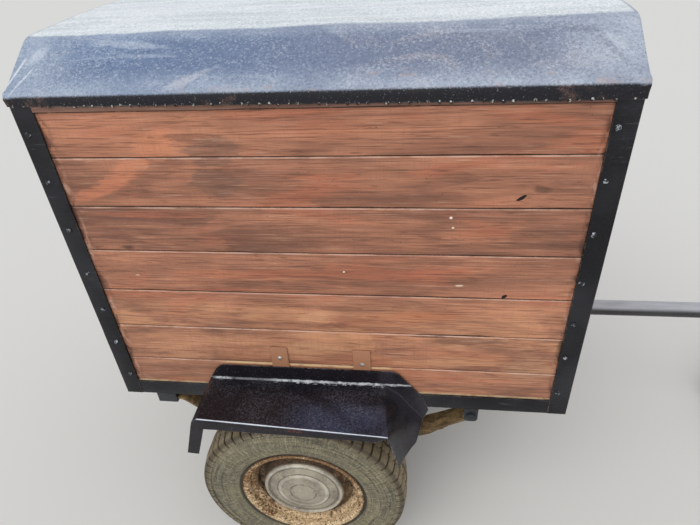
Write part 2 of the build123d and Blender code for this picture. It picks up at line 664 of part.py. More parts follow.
# Axle beam with turned stubs
beam_end = wheel_y + WHEEL_FACE_OFFSET - HUB_FLANGE_THICK - HUB_BACK_LENGTH - HUB_BACK_GAP
stub_end = wheel_y + WHEEL_FACE_OFFSET + STUB_BEYOND_FACE
beam_half = AXLE_BEAM / 2
axle = block((axle_x - beam_half, axle_x + beam_half), (-beam_end, beam_end),
             (axle_z - beam_half, axle_z + beam_half))
axle += rod((axle_x, -stub_end, axle_z), (axle_x, stub_end, axle_z), STUB_RADIUS)
save("axle", axle)

# Leaf springs: a front eye, a flat tail in a slide, and the pack seated on the axle's pads
spring_y = half_width - SPRING_INSET
eye_z = frame_low - SPRING_EYE_DROP
tail_z = frame_low - SPRING_TAIL_DROP
pack_bottom = axle_z + beam_half + SPRING_PAD_THICK
main_leaf_z = pack_bottom + LEAF_THICK * (len(LEAF_REACHES) - 0.5)
eye_rise = EYE_BORE_RADIUS + LEAF_THICK / 2
xz_plane = Plane(origin=(axle_x, 0, 0), x_dir=(1, 0, 0), z_dir=(0, -1, 0))


def arc_radius(span, rise):
    """Radius of an arc that starts level and gains a rise over a span."""
    return (span ** 2 + rise ** 2) / (2 * rise)


eye_path_radius = arc_radius(SPRING_FRONT_SPAN, eye_z - main_leaf_z - eye_rise)
front_radius = eye_path_radius + eye_rise
front_angle = math.asin(SPRING_FRONT_SPAN / eye_path_radius)
rear_radius = arc_radius(SPRING_REAR_SPAN, tail_z - main_leaf_z)
rear_angle = math.asin(SPRING_REAR_SPAN / rear_radius)


def half_leaf(end, radius, angle, row):
    """Half a leaf from over the axle to one end, a number of rows below the main leaf."""
    high = radius + (row - 0.5) * LEAF_THICK
    low = high + LEAF_THICK

    def point(arm, turn):
        return (end * arm * math.sin(turn), main_leaf_z + radius - arm * math.cos(turn))

    edges = [
        ThreePointArc(point(low, 0), point(low, angle / 2), point(low, angle)),
        Line(point(low, angle), point(high, angle)),
        ThreePointArc(point(high, angle), point(high, angle / 2), point(high, 0)),
        Line(point(high, 0), point(low, 0)),
    ]
    return make_face(edges)


def leaf_spring(y_sign):
    pack_height = LEAF_THICK * len(LEAF_REACHES)
    face = Pos(0, pack_bottom + pack_height / 2) * Rectangle(2 * CUT_MARGIN, pack_height)
    for row, reach in enumerate(LEAF_REACHES):
        face += half_leaf(1, front_radius, reach * front_angle, row)
        face += half_leaf(-1, rear_radius, reach * rear_angle, row)
    face += Pos(-SPRING_REAR_SPAN, tail_z) * Circle(LEAF_THICK / 2)
    tail_middle = SPRING_REAR_SPAN + SPRING_TAIL_LENGTH / 2
    face += Pos(-tail_middle, tail_z) * Rectangle(SPRING_TAIL_LENGTH, LEAF_THICK)
    face += Pos(SPRING_FRONT_SPAN, eye_z) * Circle(EYE_BORE_RADIUS + LEAF_THICK)
    face -= Pos(SPRING_FRONT_SPAN, eye_z) * Circle(EYE_BORE_RADIUS)
    start = y_sign * spring_y + SPRING_WIDTH / 2
    return Pos(0, start, 0) * extrude(xz_plane * face, amount=SPRING_WIDTH)


save("leaf_springs", leaf_spring(-1), leaf_spring(1))

plate_half = SPRING_PLATE_LENGTH / 2
plate_lift = plate_half ** 2 / (2 * (rear_radius - LEAF_THICK)) + SPRING_SEAT_GAP
top_plate_z = main_leaf_z + LEAF_THICK / 2 + plate_lift
bolt_y = SPRING_WIDTH / 2 + U_BOLT_RADIUS + U_BOLT_SIDE_GAP
bolt_x = beam_half + U_BOLT_RADIUS + U_BOLT_CLEARANCE
bolt_low = axle_z - beam_half - U_BOLT_RADIUS - U_BOLT_CLEARANCE
bolt_high = top_plate_z + SPRING_PAD_THICK + U_BOLT_TAIL
spring_plates = []
u_bolts = []
for y_sign in (-1, 1):
    middle = y_sign * spring_y
    plate_x = (axle_x - plate_half, axle_x + plate_half)
    plate_y = (middle - SPRING_PLATE_WIDTH / 2, middle + SPRING_PLATE_WIDTH / 2)
    pad_y = (middle - SPRING_WIDTH / 2, middle + SPRING_WIDTH / 2)
    pad = block(plate_x, pad_y, (pack_bottom - SPRING_PAD_THICK, pack_bottom))
    plate = block(plate_x, plate_y, (top_plate_z, top_plate_z + SPRING_PAD_THICK))
    for across in (-bolt_y, bolt_y):
        y = middle + across
        path = FilletPolyline((axle_x - bolt_x, y, bolt_high), (axle_x - bolt_x, y, bolt_low),
                              (axle_x + bolt_x, y, bolt_low), (axle_x + bolt_x, y, bolt_high),
                              radius=1.1 * U_BOLT_RADIUS)
        section = Plane(origin=path @ 0, z_dir=path % 0) * Circle(U_BOLT_RADIUS)
        u_bolts.append(sweep(section, path=path))
        for along in (-bolt_x, bolt_x):
            hole = Cylinder(U_BOLT_RADIUS + U_BOLT_CLEARANCE, 4 * SPRING_PAD_THICK)
            plate -= Pos(axle_x + along, y, top_plate_z) * hole
    spring_plates += [pad, plate]
save("spring_plates", *spring_plates)
save("u_bolts", *u_bolts)

# Front hangers with their pins, and rear slides
hanger_inside = SPRING_WIDTH / 2 + HANGER_SIDE_GAP
hanger_outside = hanger_inside + HANGER_THICK
front_eye_x = axle_x + SPRING_FRONT_SPAN
slide_rear = axle_x - SPRING_REAR_SPAN - SPRING_TAIL_LENGTH + TAIL_PAST_SLIDE


def hanger(y_sign):
    """Channel hanger under the rail, its cheeks bored for the pin."""
    low_z = eye_z - HANGER_LENGTH / 2
    x_pair = (front_eye_x - HANGER_LENGTH / 2, front_eye_x + HANGER_LENGTH / 2)
    middle = y_sign * spring_y
    shape = block(x_pair, (middle - hanger_outside, middle + hanger_outside), (low_z, frame_low))
    long_pair = (x_pair[0] - CUT_MARGIN, x_pair[1] + CUT_MARGIN)
    gap = block(long_pair, (middle - hanger_inside, middle + hanger_inside),
                (low_z - CUT_MARGIN, frame_low - HANGER_THICK))
    reach = hanger_outside + CUT_MARGIN
    hole = rod((front_eye_x, middle - reach, eye_z), (front_eye_x, middle + reach, eye_z), EYE_BORE_RADIUS)
    lower = shape.edges().filter_by(Axis.Y).group_by(Axis.Z)[0]
    return fillet(lower, HANGER_LENGTH / 3) - gap - hole


def spring_slide(y_sign):
    """Channel under the rail that holds the spring's tail, slotted along its underside."""
    middle = y_sign * spring_y
    x_pair = (slide_rear, slide_rear + SLIDE_LENGTH)
    long_pair = (x_pair[0] - CUT_MARGIN, x_pair[1] + CUT_MARGIN)
    room_low = tail_z - LEAF_THICK / 2 - HANGER_SIDE_GAP
    room_high = tail_z + LEAF_THICK / 2 + SPRING_SEAT_GAP
    low = room_low - HANGER_THICK
    slot_half = SLIDE_SLOT_SHARE * SPRING_WIDTH / 2
    shape = block(x_pair, (middle - hanger_outside, middle + hanger_outside), (low, frame_low))
    room = block(long_pair, (middle - hanger_inside, middle + hanger_inside), (room_low, room_high))
    slot = block(long_pair, (middle - slot_half, middle + slot_half), (low - CUT_MARGIN, room_high))
    return shape - room - slot


def spring_pin(y_middle, reach):
    """Pin through the front eye, with a flat head each end outside the hanger."""
    end = reach + PIN_END_GAP
    tip = end + PIN_HEAD_THICK
    head_radius = 1.5 * SPRING_PIN_RADIUS
    pin = rod((front_eye_x, y_middle - tip, eye_z), (front_eye_x, y_middle + tip, eye_z), SPRING_PIN_RADIUS)
    for side in (-1, 1):
        pin += rod((front_eye_x, y_middle + side * end, eye_z), (front_eye_x, y_middle + side * tip, eye_z),
                   head_radius)
    return pin


save("spring_hangers", hanger(-1), hanger(1), spring_slide(-1), spring_slide(1))
save("spring_pins", spring_pin(-spring_y, hanger_outside), spring_pin(spring_y, hanger_outside))


# Mudguard's folds, placed round the tyre
fender_top = axle_z + TYRE_RADIUS + FENDER_TYRE_GAP + FENDER_SHEET
fender_rear = axle_x - TYRE_RADIUS + FENDER_REAR_SHORTFALL
fender_front = axle_x + TYRE_RADIUS - FENDER_FRONT_SHORTFALL
flange_top = fender_top + FENDER_FLANGE_HEIGHT
tyre_outside = half_width + TYRE_SIDE_GAP + TYRE_WIDTH


def fender_edge_y(x):
    """How far out the mudguard's outer edge lies, which widens towards the front."""
    share = (x - fender_rear) / (fender_front - fender_rear)
    overhang = FENDER_REAR_OVERHANG + share * (FENDER_FRONT_OVERHANG - FENDER_REAR_OVERHANG)
    return -(tyre_outside + overhang)


def beside(points, distance):
    """The open line of (x, z) points moved sideways, below and inside the sheet's top."""
    moved = []
    for index, point in enumerate(points):
        before = points[max(index - 1, 0)]
        after = points[min(index + 1, len(points) - 1)]
        into = Vector(after[0] - before[0], after[1] - before[1]).normalized()
        moved.append((point[0] + distance * into.Y, point[1] - distance * into.X))
    return moved


def sheet_band(points):
    return points + beside(points, FENDER_SHEET)[::-1]


def along(start, end, share):
    return tuple(a + share * (b - a) for a, b in zip(start, end))


def fender():
    """Right mudguard: top panel and twisted front apron, wall flange, outer lip and rear leg."""
    t = FENDER_SHEET
    top, rear, front = fender_top, fender_rear, fender_front
    fold = (rear - FENDER_REAR_FOLD[0], top - FENDER_REAR_FOLD[1])
    flared_front = front + FENDER_FRONT_FLARE
    # Inner and outer edge lines of the panel, as (x, z)
    inner_line = [fold, (rear, top), (front, top)]
    inner_line += [(front + reach, top - drop) for reach, drop in FENDER_APRON_INNER]
    outer_line = [fold, (rear, top), (flared_front, top)]
    outer_line += [(front + reach, top - drop) for reach, drop in FENDER_APRON_OUTER]
    inner_wire = Wire.make_polygon([(x, -half_width, z) for x, z in sheet_band(inner_line)])
    outer_wire = Wire.make_polygon([(x, fender_edge_y(x), z) for x, z in sheet_band(outer_line)])
    panel = Solid.make_loft([inner_wire, outer_wire], ruled=True)
    # Apron's outer lower corner clipped, as (y, z)
    front_corner, tip, corner = [
        (fender_edge_y(flared_front), top), (-half_width, inner_line[-1][1]),
        (fender_edge_y(outer_line[-1][0]), outer_line[-1][1]),
    ]
    clip_low = along(tip, corner, FENDER_APRON_CLIP[0])
    clip_high = along(front_corner, corner, FENDER_APRON_CLIP[1])
    cut_ends = [along(clip_low, clip_high, share) for share in FENDER_CLIP_RUN]
    clip_points = cut_ends + [(y, 0) for y, z in reversed(cut_ends)]
    panel -= prism(Plane.YZ.offset(flared_front), clip_points, FENDER_APRON_INNER[-1][0])
    # Flange against the wall, as (x, z)
    flange_rear = (rear + FENDER_FLANGE_INSET, flange_top)
    flange_points = [fold, flange_rear]
    flange_points += [(front + reach, top + rise) for reach, rise in FENDER_FLANGE_NOSE]
    sheet_middle = beside(inner_line, t / 2)
    flange_points.append(along(sheet_middle[-2], sheet_middle[-1], FENDER_FLANGE_TIP_SHARE))
    flange_points += sheet_middle[-2::-1]
    flange_plane = Plane(origin=(0, -half_width, 0), x_dir=(1, 0, 0), z_dir=(0, -1, 0))
    flange_face = make_face(Polyline(*flange_points, close=True))
    flange_corner = flange_face.vertices().sort_by_distance(flange_rear)[0]
    flange_face = fillet(flange_corner, FENDER_FLANGE_RADIUS)
    flange = extrude(flange_plane * flange_face, amount=t)
    # Outer lip with the leg at its rear end, as (x, z)
    leg_front = rear - FENDER_LEG_SETBACK
    lip_points = [
        fold, (rear, top), (flared_front - t, top),
        (flared_front - FENDER_LIP_CUTBACK, top - FENDER_LIP_FRONT_DROP),
        (leg_front + FENDER_LEG_SLANT, top - FENDER_LIP_REAR_DROP), (leg_front, top - FENDER_LEG_DROP),
        (leg_front - FENDER_LEG_WIDTH, top - FENDER_LEG_DROP),
    ]
    lip_wires = []
    for shift in (0, t):
        lip_wires.append(Wire.make_polygon([(x, fender_edge_y(x) + shift, z) for x, z in lip_points]))
    lip = Solid.make_loft(lip_wires, ruled=True)
    return panel + flange + lip


right_fender = fender()
save("fender_right", right_fender)
save("fender_left", other_side(right_fender))
tabs = []
for reach_back in TAB_REACHES_BACK:
    tab_x = fender_front - reach_back
    tab = block((tab_x - TAB_WIDTH / 2, tab_x + TAB_WIDTH / 2), (-board_face - TAB_THICK, -board_face),
                (flange_top - TAB_LAP, flange_top + TAB_STAND))
    tabs += [tab, other_side(tab)]
save("fender_tabs", *tabs)

# Drawbar tube, welded under the frame
tube_start = box_rear + DRAWBAR_TAIL_SETBACK
tube_end = ball_x - COUPLING_NECK
drawbar = rod((tube_start, 0, drawbar_z), (tube_end, 0, drawbar_z), DRAWBAR_RADIUS)
drawbar -= rod((tube_start - CUT_MARGIN, 0, drawbar_z), (tube_end + CUT_MARGIN, 0, drawbar_z),
               DRAWBAR_RADIUS - DRAWBAR_WALL)
save("drawbar", drawbar)


def coupling_head():
    """Ball coupling: sleeve on the tube, tapered neck and a head with its socket open below."""
    socket = BALL_RADIUS + BALL_CLEARANCE
    shell = socket + COUPLING_SHELL
    rim_z = ball_z - COUPLING_SOCKET_DEPTH
    sleeve_start = tube_end - COUPLING_SLEEVE_LENGTH
    sleeve_end = tube_end + COUPLING_SHOULDER
    neck_plane = Plane(origin=(sleeve_end, 0, drawbar_z), z_dir=(1, 0, 0))
    neck_length = ball_x - socket - sleeve_end
    head = rod((sleeve_start, 0, drawbar_z), (sleeve_end, 0, drawbar_z), COUPLING_SLEEVE_RADIUS)
    head += neck_plane * Cone(COUPLING_SLEEVE_RADIUS, COUPLING_NECK_RADIUS, neck_length,
                              align=(Align.CENTER, Align.CENTER, Align.MIN))
    head += Pos(ball_x, 0, ball_z) * Sphere(shell)
    head += rod((ball_x, 0, rim_z), (ball_x, 0, ball_z), shell)
    head += rod((ball_x, 0, rim_z), (ball_x, 0, rim_z + COUPLING_LIP_HEIGHT), COUPLING_LIP_RADIUS)
    head -= rod((sleeve_start - CUT_MARGIN, 0, drawbar_z), (tube_end, 0, drawbar_z), DRAWBAR_RADIUS)
    head -= Pos(ball_x, 0, ball_z) * Sphere(socket)
    head -= rod((ball_x, 0, rim_z - shell), (ball_x, 0, ball_z), socket)
    return head


save("coupling_head", coupling_head())

lever_plane = Plane(origin=(ball_x, LEVER_WIDTH / 2, ball_z), x_dir=(1, 0, 0), z_dir=(0, -1, 0))
lever = prism(lever_plane, LEVER_PROFILE, LEVER_WIDTH)
lever -= Pos(ball_x, 0, ball_z) * Sphere(BALL_RADIUS + BALL_CLEARANCE + COUPLING_SHELL)
lever -= rod((tube_end - 2 * COUPLING_SLEEVE_LENGTH, 0, drawbar_z), (ball_x, 0, drawbar_z),
             COUPLING_SLEEVE_RADIUS)
save("coupling_handle", lever)

# Plate for a breakaway chain, below the drawbar
chain_x = stand_x - CHAIN_PLATE_SETBACK
chain_hole_z = drawbar_z - DRAWBAR_RADIUS - CHAIN_HOLE_DROP
chain_half = CHAIN_PLATE_THICK / 2
chain_x_pair = (chain_x - CHAIN_PLATE_LENGTH / 2, chain_x + CHAIN_PLATE_LENGTH / 2)
chain_plate = block(chain_x_pair, (-chain_half, chain_half), (chain_hole_z - CHAIN_HOLE_EDGE, drawbar_z))
lower = chain_plate.edges().filter_by(Axis.Y).group_by(Axis.Z)[0]
chain_plate = fillet(lower, CHAIN_PLATE_RADIUS)
chain_plate -= rod((chain_x, -CHAIN_PLATE_THICK, chain_hole_z), (chain_x, CHAIN_PLATE_THICK, chain_hole_z),
                   CHAIN_HOLE_RADIUS)
chain_plate -= rod((chain_x - CHAIN_PLATE_LENGTH, 0, drawbar_z), (chain_x + CHAIN_PLATE_LENGTH, 0, drawbar_z),
                   DRAWBAR_RADIUS)
save("chain_plate", chain_plate)


def stand_rod(low, high, radius, ahead=0.0):
    """An upright round bar on the stand's axis, or ahead of it."""
    return rod((stand_x + ahead, stand_y, low), (stand_x + ahead, stand_y, high), radius)


# Front stand: clamp on the drawbar
clamp = block((stand_x - CLAMP_SADDLE_HALF_LENGTH, stand_x + CLAMP_SADDLE_HALF_LENGTH),
              (DRAWBAR_RADIUS / 2, stand_y),
              (drawbar_z - CLAMP_SADDLE_HALF_HEIGHT, drawbar_z + CLAMP_SADDLE_HALF_HEIGHT))
clamp += stand_rod(drawbar_z - CLAMP_HALF_HEIGHT, drawbar_z + CLAMP_HALF_HEIGHT,
                   STAND_TUBE_RADIUS + CLAMP_WALL)
clamp += block((stand_x - CLAMP_EAR_HALF_LENGTH, stand_x + CLAMP_EAR_HALF_LENGTH),
               (stand_y, stand_y + STAND_TUBE_RADIUS + CLAMP_EAR_REACH),
               (drawbar_z - CLAMP_EAR_HALF_HEIGHT, drawbar_z + CLAMP_EAR_HALF_HEIGHT))
clamp -= rod((stand_x - 2 * CLAMP_SADDLE_HALF_LENGTH, 0, drawbar_z),
             (stand_x + 2 * CLAMP_SADDLE_HALF_LENGTH, 0, drawbar_z), DRAWBAR_RADIUS)
clamp -= stand_rod(drawbar_z - 2 * CLAMP_HALF_HEIGHT, drawbar_z + 2 * CLAMP_HALF_HEIGHT,
                   STAND_TUBE_RADIUS + CLAMP_FIT)
save("stand_clamp", clamp)

# Outer tube with its cap, high enough to clear the fork's pin when wound up
crown_low = STAND_WHEEL_RADIUS * 2 + CROWN_WHEEL_GAP
crown_high = crown_low + CROWN_THICK
stand_tube_low = crown_high + SWIVEL_PIN_HEIGHT + STAND_LIFT + STAND_WOUND_UP_GAP
bore_high = STAND_TUBE_HIGH - STAND_CAP_THICK
stand_tube = stand_rod(stand_tube_low, STAND_TUBE_HIGH, STAND_TUBE_RADIUS)
stand_tube -= stand_rod(stand_tube_low - CUT_MARGIN, bore_high, STAND_TUBE_RADIUS - STAND_TUBE_WALL)
save("stand_tube", stand_tube)

# Winding handle
crank_low = STAND_TUBE_HIGH + CRANK_RISE
crank_high = crank_low + CRANK_THICK
grip_high = crank_low + CRANK_GRIP_HEIGHT
handle = stand_rod(STAND_TUBE_HIGH, crank_high, CRANK_SHAFT_RADIUS)
handle += block((stand_x - CRANK_HALF_WIDTH, stand_x + STAND_CRANK_REACH + CRANK_HALF_WIDTH),
                (stand_y - CRANK_HALF_WIDTH, stand_y + CRANK_HALF_WIDTH), (crank_low, crank_high))
handle += stand_rod(crank_low, grip_high, CRANK_GRIP_RADIUS / 2, STAND_CRANK_REACH)
handle += stand_rod(crank_low + CRANK_GRIP_GAP, grip_high, CRANK_GRIP_RADIUS, STAND_CRANK_REACH)
save("stand_handle", handle)

# Sliding leg, bored below for the fork's pin
leg_radius = STAND_TUBE_RADIUS - STAND_TUBE_WALL - STAND_LEG_CLEARANCE
leg_low = crown_high + SWIVEL_GAP
leg_high = bore_high - STAND_LIFT - STAND_WOUND_UP_GAP
leg = stand_rod(leg_low, leg_high, leg_radius)
leg -= stand_rod(leg_low + LEG_PLUG_HEIGHT, leg_high + CUT_MARGIN, leg_radius - STAND_TUBE_WALL)
leg -= stand_rod(leg_low - CUT_MARGIN, leg_low + SWIVEL_PIN_HEIGHT + CUT_MARGIN,
                 SWIVEL_PIN_RADIUS + RUNNING_CLEARANCE)
save("stand_leg", leg)

# Swivelling fork
stand_wheel_x = stand_x - STAND_TRAIL
cheek_inside = STAND_WHEEL_WIDTH / 2 + STAND_FORK_GAP
cheek_outside = cheek_inside + STAND_FORK_THICK
pin_reach = cheek_outside + FORK_PIN_HEAD
foot_z = STAND_WHEEL_RADIUS - FORK_FOOT_BELOW_PIN
fork = block((stand_x - CROWN_REACH_BEHIND, stand_x + CROWN_REACH_AHEAD),
             (stand_y - cheek_outside, stand_y + cheek_outside), (crown_low, crown_high))
fork += stand_rod(crown_low, crown_high + SWIVEL_PIN_HEIGHT, SWIVEL_PIN_RADIUS)
# Fork cheek, as (x ahead of the swivel, z)
cheek_points = [
    (CROWN_REACH_AHEAD, crown_high), (-CROWN_REACH_BEHIND, crown_high),
    (-STAND_TRAIL - FORK_FOOT_HALF_LENGTH, foot_z), (-STAND_TRAIL + FORK_FOOT_HALF_LENGTH, foot_z),
]
for y_low in (stand_y - cheek_outside, stand_y + cheek_inside):
    plane = Plane(origin=(stand_x, y_low, 0), x_dir=(1, 0, 0), z_dir=(0, -1, 0))
    fork += prism(plane, cheek_points, -STAND_FORK_THICK)
fork += rod((stand_wheel_x, stand_y - pin_reach, STAND_WHEEL_RADIUS),
            (stand_wheel_x, stand_y + pin_reach, STAND_WHEEL_RADIUS), STAND_PIN_RADIUS)
save("stand_fork", fork)


def stand_wheel():
    """Solid rubber tyre on a pressed centre."""
    half = STAND_WHEEL_WIDTH / 2
    side = [(share * STAND_WHEEL_RADIUS, across * half) for share, across in STAND_WHEEL_PROFILE]
    side.insert(0, (STAND_PIN_RADIUS + RUNNING_CLEARANCE, side[0][1]))
    points = side + [(radius, -across) for radius, across in reversed(side)]
    plane = Plane(origin=(stand_wheel_x, stand_y, STAND_WHEEL_RADIUS), x_dir=(0, 0, 1), z_dir=(1, 0, 0))
    face = plane * make_face(Polyline(*points, close=True))
    return revolve(face, axis=Axis((stand_wheel_x, stand_y, STAND_WHEEL_RADIUS), (0, 1, 0)))


save("stand_wheel", stand_wheel())
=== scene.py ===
import math
import random

import bmesh
import bpy
from mathutils import Matrix, Vector, noise


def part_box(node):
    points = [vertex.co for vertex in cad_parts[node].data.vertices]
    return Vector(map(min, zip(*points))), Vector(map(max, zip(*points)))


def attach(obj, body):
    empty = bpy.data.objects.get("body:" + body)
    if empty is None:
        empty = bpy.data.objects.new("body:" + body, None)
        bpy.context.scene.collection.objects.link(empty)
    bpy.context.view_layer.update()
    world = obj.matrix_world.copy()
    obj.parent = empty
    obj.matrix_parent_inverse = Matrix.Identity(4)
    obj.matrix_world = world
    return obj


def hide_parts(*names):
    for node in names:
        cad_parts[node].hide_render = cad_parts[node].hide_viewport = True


bl_info = {
    "name": "Boarded Box Trailer",
    "version": (1, 0, 0),
    "blender": (4, 5, 0),
    "location": "3D View > Sidebar > Trailer",
    "description": "Finishes of a boarded single-axle box trailer, built around its packed frame",
    "category": "Object",
}

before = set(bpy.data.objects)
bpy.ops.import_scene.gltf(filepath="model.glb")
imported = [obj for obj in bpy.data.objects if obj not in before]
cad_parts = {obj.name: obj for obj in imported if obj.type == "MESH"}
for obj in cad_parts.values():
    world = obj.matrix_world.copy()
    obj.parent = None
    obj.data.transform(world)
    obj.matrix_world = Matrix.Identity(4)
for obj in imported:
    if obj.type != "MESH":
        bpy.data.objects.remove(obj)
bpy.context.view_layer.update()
MM = 0.001

# Places read from the frame. +X points to the coupling, -Y is the right side, which faces the camera.
post_low, post_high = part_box("corner_posts")
tyre_low, tyre_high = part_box("tyre_right")
rim_low, rim_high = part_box("rim_right")
cap_low, cap_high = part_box("hubcap_right")
tab_low, tab_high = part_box("fender_tabs")
tube_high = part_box("drawbar")[1]
BOX_REAR, BOX_FRONT = post_low.x, post_high.x
BOX_MIDDLE = (BOX_REAR + BOX_FRONT) / 2
HALF_WIDTH = post_high.y
FRAME_LOW, WALL_TOP = post_low.z, post_high.z
FLOOR_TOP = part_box("side_boards_right")[0].z
BOARD_ROWS = 7
BOARD_PITCH = (WALL_TOP - FLOOR_TOP) / BOARD_ROWS
AXLE = (tyre_low + tyre_high) / 2
WHEEL_Y = -AXLE.y
TYRE_RADIUS = (tyre_high.z - tyre_low.z) / 2
TYRE_HALF = (tyre_high.y - tyre_low.y) / 2
RIM_RADIUS = (rim_high.z - rim_low.z) / 2
RIM_HALF = (rim_high.y - rim_low.y) / 2
CAP_RADIUS = (cap_high.z - cap_low.z) / 2
SIDES = (("right", -1), ("left", 1))
ENDS = ((-1, BOX_REAR), (1, BOX_FRONT))


# Sizes and colours that a user may change

def linear(red, green, blue):
    """A colour from 0 to 255 as seen on a screen, turned into the renderer's linear values."""
    def one(value):
        value /= 255
        return value / 12.92 if value <= 0.04045 else ((value + 0.055) / 1.055) ** 2.4
    return (one(red), one(green), one(blue))


def shade(tone):
    """A tone's linear values, whether it is given in whole numbers up to 255 or is linear already."""
    return linear(*tone) if isinstance(tone, tuple) and isinstance(tone[0], int) else tone


def colour(name, text, red, green, blue):
    return bpy.props.FloatVectorProperty(name=name, description=text, subtype="COLOR", size=3,
                                         min=0.0, max=1.0, default=linear(red, green, blue))


def length(name, text, millimetres):
    return bpy.props.FloatProperty(name=name, description=text, subtype="DISTANCE", unit="LENGTH",
                                   default=millimetres * MM)


def factor(name, text, value):
    return bpy.props.FloatProperty(name=name, description=text, default=value)


def whole(name, text, value):
    return bpy.props.IntProperty(name=name, description=text, default=value, min=1)


class TrailerStageSizes(bpy.types.PropertyGroup):
    """Floor, lights and camera."""
    camera_place: bpy.props.FloatVectorProperty(
        name="Camera place", description="Where the picture is taken from", subtype="TRANSLATION",
        unit="LENGTH", size=3, default=(-0.3030, -1.4098, 1.5987))
    camera_turn: bpy.props.FloatVectorProperty(
        name="Camera turn", description="The camera's turn about X, Y and Z", subtype="EULER", unit="ROTATION",
        size=3, default=(math.radians(55.893), math.radians(3.246), math.radians(6.624)))
    lens: factor("Lens", "Focal length in millimetres on a 36 mm sensor", 27.45)
    floor_size: length("Floor size", "Half the width of the floor", 40000)
    floor_colour: colour("Floor colour", "Pale floor", 214, 212, 208)
    world_level: factor("World level", "Strength of the light from all round", 0.80)
    sun_level: factor("Sun level", "Strength of the soft sun", 1.15)
    sun_spread: factor("Sun spread", "Width of the soft sun in degrees", 50.0)


class TrailerTimberSizes(bpy.types.PropertyGroup):
    """Lapped boards of the walls and doors."""
    groove: length("Groove", "Gap that shows between two boards", 1.5)
    arris: length("Arris", "Radius of a board's worn edges", 1.5)
    lap_depth: length("Lap depth", "Depth from the face to the lap behind it", 10.0)
    lap_height: length("Lap height", "Height of the lap behind the next board", 9.0)
    cupping: length("Cupping", "How far a face waves in from its plane", 1.1)
    edge_wander: length("Edge wander", "How far a board's edge wanders from straight", 0.7)
    stain_bright: colour("Bright stain", "Stain where it is thin", 196, 133, 103)
    stain_dark: colour("Dark stain", "Stain where it is thick", 126, 85, 69)
    timber_pale: colour("Pale timber", "Bare timber that shows through", 214, 172, 144)
    groove_dirt: colour("Groove dirt", "Dirt in the grooves", 52, 33, 27)


class TrailerFrameSizes(bpy.types.PropertyGroup):
    """Angle iron of the box."""
    leg: length("Leg", "Width of each leg of the angle", 45.0)
    thick: length("Thickness", "Thickness of the angle", 5.0)
    corner_radius: length("Corner radius", "Rounding of the outer corner", 1.8)
    toe_radius: length("Toe radius", "Rounding of the legs' edges", 1.8)
    paint: colour("Paint", "Black gloss paint", 13, 13, 18)
    paint_dust: colour("Paint dust", "Dust and scuffs on the paint", 96, 98, 106)
    screw_radius: length("Screw radius", "Radius of a dome-headed screw", 6.2)
    screw_height: length("Screw height", "Height of the dome", 4.0)


class TrailerRoofSizes(bpy.types.PropertyGroup):
    """Roof covering with its skirts, hems and tacks."""
    eave_rise: length("Eave rise", "Eave edge above the boards", 17.0)
    skirt_drop: length("Skirt drop", "Skirt below the boards' top", 10.0)
    skirt_lift: length("Skirt lift", "How far the skirt's edge rises towards the rear", 8.0)
    knee_inset: length("Knee inset", "Knee in from the eave", 123.0)
    knee_rise: length("Knee rise", "Knee above the boards", 101.0)
    crown_rise: length("Crown rise", "Crown above the boards", 110.0)
    knee_radius: length("Knee radius", "Bend at the knee", 60.0)
    eave_radius: length("Eave radius", "Bend at the eave", 6.0)
    thick: length("Thickness", "Thickness of the covering", 3.0)
    hem: length("Hem", "Width of the hem on the end faces", 28.0)
    sag: length("Sag", "Depth of the sheet's waves", 2.6)
    ragged: length("Ragged", "How ragged the skirt's lower edge is", 1.8)
    tack_spacing: length("Tack spacing", "Distance between tacks", 18.0)
    tack_radius: length("Tack radius", "Radius of a tack's head", 3.3)
    # The black below is the covering's own colour. The three slope and top colours after it are painted sky reflection
    # on the slopes and painted glare on the top.
    black: colour("Black", "Covering out of the weather", 24, 24, 31)
    rear_slope_reflection: colour("Deep slope", "Rear part of the slopes", 108, 130, 163)
    front_slope_reflection: colour("Bloom", "Front part of the slopes", 136, 141, 157)
    crown_glare: colour("Bleached", "Weathered top", 224, 229, 232)


class TrailerGuardSizes(bpy.types.PropertyGroup):
    """Folded sheet mudguards."""
    sheet: length("Sheet", "Thickness of the sheet", 2.0)
    top_rise: length("Top rise", "Panel above the frame's foot", 77.0)
    flange_rise: length("Flange rise", "Flange top above the panel", 47.0)
    rear_setback: length("Rear setback", "Rear fold ahead of the box's rear", 267.0)
    front_setback: length("Front setback", "Front fold ahead of the box's rear", 711.0)
    rear_outreach: length("Rear outreach", "Outer edge beyond the box, at the rear", 141.0)
    front_outreach: length("Front outreach", "Outer edge beyond the box, at the front", 161.0)
    bend: length("Bend", "Radius of the sheet's folds", 2.8)
    dent: length("Dent", "Depth of the dents", 2.2)
    paint: colour("Paint", "Blue-black paint", 20, 19, 25)
    haze: colour("Haze", "Fine haze on the panel", 104, 108, 118)
    chip: colour("Chip", "Pale undercoat in the chips", 196, 198, 202)
    bare_edge: colour("Bare edge", "Bright worn edge", 198, 202, 212)


class TrailerWheelSizes(bpy.types.PropertyGroup):
    """Tyres, rims and hubcaps."""
    lug_count: whole("Lug count", "Tread blocks round one row", 58)
    lug_height: length("Lug height", "Depth of the tread", 8.0)
    lug_gap: length("Lug gap", "Gap between blocks", 7.0)
    lathe_steps: whole("Lathe steps", "Segments round a wheel", 96)
    rim_sheet: length("Rim sheet", "Thickness of the wheel's metal", 3.0)
    rubber: colour("Rubber", "Dusty tyre rubber", 96, 91, 76)
    mud: colour("Mud", "Dry mud on the tread", 134, 116, 90)
    moss: colour("Moss", "Green-tan film on the sidewall", 136, 128, 100)
    rim_cream: colour("Rim cream", "Old cream paint on the rim", 206, 176, 134)
    rust: colour("Rust", "Rust", 118, 84, 52)
    # Dark rust in the rim's dish, which also stands for painted shade there.
    dish_rust_and_shade: colour("Dark rust", "Dark rust in the dish", 62, 50, 42)
    cap_metal: colour("Cap metal", "Dull plated hubcap", 176, 168, 150)


